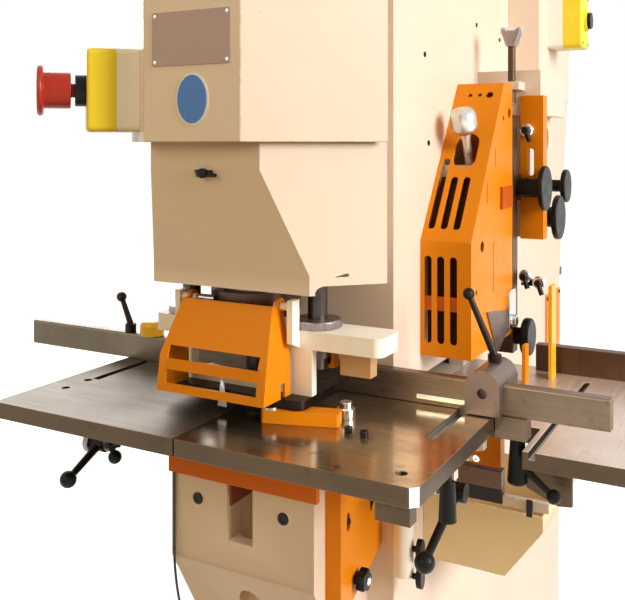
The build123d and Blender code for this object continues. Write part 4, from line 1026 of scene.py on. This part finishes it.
def rating_plate():
    """The blank plate on the head's front, with its rivets."""
    thick = 1.4
    place = at(HEAD_FRONT, -0.5, 469.5)
    Form().slab(oblong(57.5, 32.5, corner=3), place, RIGHT, FRONT, thick).finish(
        "rating_plate", plate_mauve, edge=0.3
    )
    rivets = corners(shifted(place, u=-thick), LEFT, 106, 56)
    screws(
        "rating_plate_rivets", rivets, FRONT, radius=2.0, height=0.8, material=bright, socket=0.3
    )


def blank_oval():
    """The blank oval on the head's front: a white rim, and a blue disc on it."""
    rim_thick = 0.8
    place = at(HEAD_FRONT, -3, 396)
    Form().slab(oval(24.0, 31.5), place, RIGHT, FRONT, rim_thick).finish(
        "blank_oval_rim", disc_white, edge=0.2
    )
    Form().slab(oval(21.5, 29.0), shifted(place, u=-rim_thick), RIGHT, FRONT, 0.5).finish(
        "blank_oval", disc_blue, edge=0.2
    )


def body_wall_plugs():
    """Dark plugs in the body's side."""
    places = [(795, 538), (655, 549.5), (423, 343.5), (407, 476)]
    plugs = [at(u, BODY_SIDE, h) for u, h in places]
    screws("body_wall_plugs", plugs, RIGHT, radius=4.2, height=1.2)


def ram_cover_catch():
    """Black catch on the ram cover: a domed stud, and a thin pin across it."""
    catch = Form()
    catch.turned(capped(6, 6, rise=2.5), at(RAM_COVER_FRONT, -1, 307), FRONT)
    catch.turned(cylinder(2.2, 13), at(52, -8, 305), RIGHT, sides=12)
    catch.finish("ram_cover_catch", black, edge=0.3)


def body_end_plate():
    """The bare orange plate at the far end of the body."""
    thick = 3.0
    place = at(1221, BODY_SIDE, -96)
    Form().slab(oblong(66, 94, corner=4), place, BACK, RIGHT, thick).finish(
        "body_end_plate", orange, edge=0.5
    )
    places = corners(shifted(place, y=-thick), BACK, 114, 170)
    screws("body_end_plate_screws", places, RIGHT, radius=4.5, height=2.0)


def jaw_front():
    """Two sunk socket screws beside the pocket, and a brown plate that paints the shade on the
    pocket's wall.
    """
    rim, hole = 9.5, 8.2
    proud, floor = 0.8, 0.4
    ring = [(0, 0), (rim, 0), (rim, proud), (hole, proud), (hole, floor), (0, floor)]
    places = [at(JAW_FRONT, y, -130.6) for y in (-66, 66)]
    rims = Form()
    for place in places:
        rims.turned(ring, place, FRONT, sides=28)
    rims.finish("jaw_screw_rims", cream)
    # The brown plate paints the shade on the pocket's wall.
    Form().box(at(141, 17.6, -97), at(194, 19.9, -134)).finish(
        "pocket_shade_plate", pocket_shade_brown, edge=0.3
    )
    heads = [shifted(place, u=-floor) for place in places]
    screws("jaw_screws", heads, FRONT, radius=7.8, height=1.6, socket=0.6)


def button_screws():
    """Corner screws of the two push-button boxes. The stop box stands cornerwise."""
    facing = Vector((-1, 1, 0)).normalized()
    along = Vector((1, 1, 0)).normalized()
    places = corners(at(48.7, 180.0, 412), along, 36, 92)
    screws("stop_lid_screws", places, facing, radius=2.6, height=0.8, socket=0.4)
    places = corners(at(948, -278, 584), BACK, 50, 90)
    screws("panel_lid_screws", places, RIGHT, radius=2.6, height=0.8, socket=0.4)


def stripper_wheels():
    """Knurled rims of the two stripper wheels, and the nuts that hold the wheels."""
    for side in ("right", "left"):
        wheel = "stripper_wheel_" + side
        knurls(
            wheel + "_knurl", at(*middle(wheel)), UP, wheel,
            radius=30.9, length=8.0, ridge=0.55, count=120,
        )
        top = at(middle(wheel).x, middle(wheel).y, span(wheel)[1].z)
        Form().turned(button(11, 9, chamfer=1.5), top, UP, sides=6).finish(
            wheel + "_nut", dark_steel, edge=0.4, body=wheel
        )


def guard_hinge_bush():
    """Bright bush on the punch guard's hinge line."""
    Form().turned(button(5.5, 25, chamfer=1), at(125, 31, 140), LEFT, sides=24).finish(
        "guard_hinge_bush", bright, body="punch_guard"
    )


def die_clamp_hardware():
    """Pin and washer of the die clamp bar, and the two screws in the table beside it."""
    Form().rod(at(150, -44, 8), at(163, -68, 8), radius=3.6).finish("clamp_bar_pin", dark_steel)
    hole, rim, thick = 6, 11, 2.4
    ring = [(hole, 0), (rim, 0), (rim, thick), (hole, thick), (hole, 0)]
    Form().turned(ring, at(110, -62, CLAMP_BAR_TOP), UP, sides=28).finish(
        "clamp_bar_washer", bright
    )
    places = [at(118, -166, 0), at(113, -189, 0)]
    screws("table_screws", places, UP, radius=5.0, height=7.0, socket=0.45)


def stripper_hardware():
    """Pointer in front of the punch, and the tab and pad on the stripper's right side."""
    blade = [(-7, 0), (7, 0), (1.5, 36), (-1.5, 36)]
    Form().slab(blade, at(106, 6, 9), RIGHT, FRONT, 2.5).finish("strip_pointer", bright, edge=0.3)
    tab_front = 176
    slot_back = tab_front - 0.1
    Form().box(at(tab_front, -100, 56), at(190, -117, 87)).finish(
        "stripper_tab", orange, edge=0.6
    )
    # The pad's tan is painted shade: the cream cast paint as it looks in shade.
    Form().box(at(172, -127, 50), at(192, -170, 87)).finish("stripper_pad", shaded_cast_tan, edge=1.2)
    # Painted shade: the tab's slot is a dark slab that stands for the shade in the opening.
    Form().slab(oblong(4.5, 9, corner=4), at(slot_back, -108, 70), RIGHT, FRONT, 0.4).finish(
        "stripper_tab_slot", dark_steel
    )


def body_corner_valve():
    """Upright cream valve barrel beside the jaw, with its cap, two oval knobs and bracket."""
    foot = at(288, -166, -245)
    height = 76
    Form().turned(cylinder(13.5, height), foot, UP, sides=36).finish(
        "valve_barrel", cream_cast, edge=1.0
    )
    knobs = Form()
    knobs.turned(capped(11.5, 9, rise=6), shifted(foot, h=height), UP)
    for rise in (39, 2):
        knobs.turned(cylinder(4, 8), shifted(foot, y=-12.5, h=rise), RIGHT, sides=20)
        knobs.slab(oval(9, 15), shifted(foot, y=-20, h=rise), BACK, RIGHT, 8)
    knobs.finish("valve_knobs", black, edge=1.2)
    Form().box(at(286, -149, -236), at(302, -156, -178)).finish("valve_bracket", cream, edge=0.6)


def star_knob():
    """Five-lobed knob of the side cover, with its bright centre screw."""
    solid = "side_cover_knob"
    foot = at(middle(solid).x, span(solid)[1].y, middle(solid).z)
    hub, height = 5, 16.6
    lobed = [(0, hub), (12.8, hub), (13.4, 7), (13.4, 14), (12.2, height), (0, height)]
    knob = Form()
    knob.turned(cylinder(8, hub), foot, RIGHT, sides=28)
    knob.turned(lobed, foot, RIGHT, sides=60, lobes=5, lobe_depth=0.12)
    knob.finish(
        "cover_star_knob", black, edge=0.7, body=solid, slot=SLOT_OF[solid], replaces=[solid]
    )
    Form().turned(button(5.4, 2.6, chamfer=1), shifted(foot, y=-height), RIGHT, sides=6).finish(
        "cover_knob_screw", bright, body=solid
    )


def side_cover_screws():
    """The two screws that hold the side cover to the jaw."""
    places = [at(u, COVER_SIDE, -141) for u in (187, 257)]
    screws("side_cover_screws", places, RIGHT, radius=4.6, height=1.4)


def under_table_handles():
    """The tapered grip below the right plate, and the ball handle below the left one."""
    grip = [(0, 0), (10.5, 0), (8.5, 46), (5, 46), (5, 63), (0, 63)]
    Form().turned(grip, at(128, -286, -84), UP, sides=28).finish(
        "right_table_grip", black, edge=1.4
    )
    y = 240
    handle = Form()
    handle.turned(ball(10), at(167, y, -117), UP, sides=28)
    handle.rod(at(173, y, -104), at(173, y, -20), radius=4.5)
    handle.rod(at(150, y, -95), at(173, y, -95), radius=4.5)
    handle.finish("left_table_handle", black)


def left_lever_disc():
    """Knurled disc on the pivot of the left table lever."""
    lever = "table_lever_left"
    pivot = at(174, span(lever)[1].y, -104)
    disc = [(0, 0), (16, 0), (16, 9.5), (14.5, 10.5), (0, 10.5)]
    Form().turned(disc, pivot, LEFT, sides=40).finish("left_lever_disc", turned, body=lever)
    knurls(
        "left_lever_knurl", shifted(pivot, y=4.7), LEFT, lever,
        radius=15.9, length=8.0, ridge=0.6, count=56,
    )


def corner_bracket():
    """Block under the right table plate's front corner."""
    Form().box(at(12, -248, -46), at(30, -288, -21)).finish(
        "corner_bracket", table_edge, edge=1.2
    )


def t_screw_wings():
    """Flared wing head that carries the T-screw's cross handle."""
    outline = [
        (-18, 2), (-14, 7), (-7, 1), (7, 1), (14, 7), (18, 2),
        (13, -12), (8.4, -27), (-8.4, -27), (-13, -12),
    ]
    Form().slab(outline, at(636.5, -215, 534), RIGHT, FRONT, -19).finish(
        "t_screw_cheeks", turned, edge=2.2, body="t_screw"
    )


def hold_down():
    """Polished clamping knob with a round head, on the axis of its leaning spindle."""
    lean = math.radians(23.5)
    axis = Vector((-math.sin(lean), 0, math.cos(lean)))
    neck = [(0, 0), (6.9, 0), (6.9, 40), (9.0, 50)]
    head = [(14.5, 53), (18.6, 57), (20.6, 63), (20.8, 76), (19.4, 83), (16.4, 88)]
    profile = neck + head + dome(14.5, 2.5, foot=89)
    solid = "hold_down_knob"
    Form().turned(profile, at(496, -190, 312), axis, sides=48).finish(
        "hold_down_round_knob", knob_silver, body=solid, slot=SLOT_OF[solid], replaces=[solid]
    )


def stop_rule():
    """The bright rule under the stop block."""
    Form().box(at(259, -196, 8), at(264.7, -265.4, 14)).finish(
        "stop_rule", bright, edge=0.3, body="stop_block"
    )


def shear_guard_hardware():
    """Strip, dark sheet behind the vents, slits, block and foot plate of the shear guard."""
    Form().box(at(391, -154, 98), at(394, -210, 119)).finish(
        "guard_cross_strip", deep_orange, edge=0.5
    )
    # A near-black sheet behind the vents paints the shaded inside of the guard and its dark
    # machinery.
    lining = [(402, 40), (402, 203), (463, 291), (468, 288), (408, 201), (408, 40)]
    Form().slab(lining, at(0, -157, 0), BACK, RIGHT, 64).finish("guard_vent_shade_sheet", vent_shade_brown)
    # Painted shade: the slits are thin deep orange slabs that stand for the shade in the openings.
    slits = Form()
    for u, h, length in ((497, 153, 77), (507, 322, 30), (466, 268, 30)):
        outline = oblong(1.8, length / 2, corner=1.7)
        slits.slab(outline, at(u, GUARD_SIDE + SUNK, h), BACK, RIGHT, 0.35)
    slits.finish("guard_slits", deep_orange)
    block_thick = 4.5
    Form().box(at(533, GUARD_SIDE, 239), at(590, GUARD_SIDE - block_thick, 274)).finish(
        "guard_side_block", deep_orange, edge=0.6
    )
    foot = [(458, 89), (596, 70), (592, 44), (548, 33), (520, 20), (506, 22)]
    Form().slab(foot, at(0, GUARD_SIDE + SUNK, 0), BACK, RIGHT, 3.2).finish(
        "guard_foot_plate", block_steel, edge=0.6
    )


def rail_clamps():
    """Clamps along the shear's rail: silver washers, dark screws with short levers, and a bar."""
    washers = Form()
    levers = Form()
    for u, y, h in ((660, -238, 365), (655, -236, 117), (655, -260, 108)):
        washers.turned(button(11, 7, chamfer=2), at(u, y, h), FRONT, sides=28)
        levers.turned(button(6.5, 10, chamfer=1), at(u - 7, y, h), FRONT, sides=6)
        levers.rod(at(u - 11, y, h), at(u - 13, y - 7, h - 19), radius=4.2)
    levers.box(at(655, -228.5, 101), at(661, -268, 112))
    washers.finish("rail_clamp_washers", bright)
    levers.finish("rail_clamp_screws", dark_steel, edge=0.5)


def shear_table_neck():
    """Bracket, bolt, bars and strut under the shear table's neck."""
    Form().box(at(330, -248, -92), at(350, -288, -52)).finish("neck_bracket", orange, edge=1.0)
    bolt = [at(330, -255, -83)]
    screws("neck_bracket_bolt", bolt, FRONT, radius=5.0, height=4.0, material=bright)
    Form().box(at(334, -225, -122), at(352, -288, -98)).finish("neck_bar", brown_steel, edge=0.8)
    lower = Form()
    lower.box(at(336, -225, -142), at(350, -288, -122))
    lower.box(at(334.5, -321, -151), at(338, -329, -129))
    lower.finish("neck_lower_bar", dark_steel, edge=0.5)
    Form().box(at(338, -288, -144), at(348, -350, -131)).finish(
        "neck_strut", cream_cast, edge=0.6, slot="cream_paint"
    )


def shear_table_apron():
    """The plate that hangs below the shear table's front edge."""
    outline = [(388, -52), (388, -113), (370, -115), (330, -98), (330, -78), (343, -52)]
    Form().slab(outline, at(300, 0, 0), RIGHT, FRONT, -6).finish(
        "shear_table_apron", table_edge, edge=0.8
    )


aim_camera()
studio()
studio_floor()
dress_solids()
rating_plate()
blank_oval()
body_wall_plugs()
ram_cover_catch()
body_end_plate()
jaw_front()
button_screws()
stripper_wheels()
guard_hinge_bush()
die_clamp_hardware()
stripper_hardware()
body_corner_valve()
star_knob()
side_cover_screws()
under_table_handles()
left_lever_disc()
corner_bracket()
t_screw_wings()
hold_down()
stop_rule()
shear_guard_hardware()
rail_clamps()
shear_table_neck()
shear_table_apron()
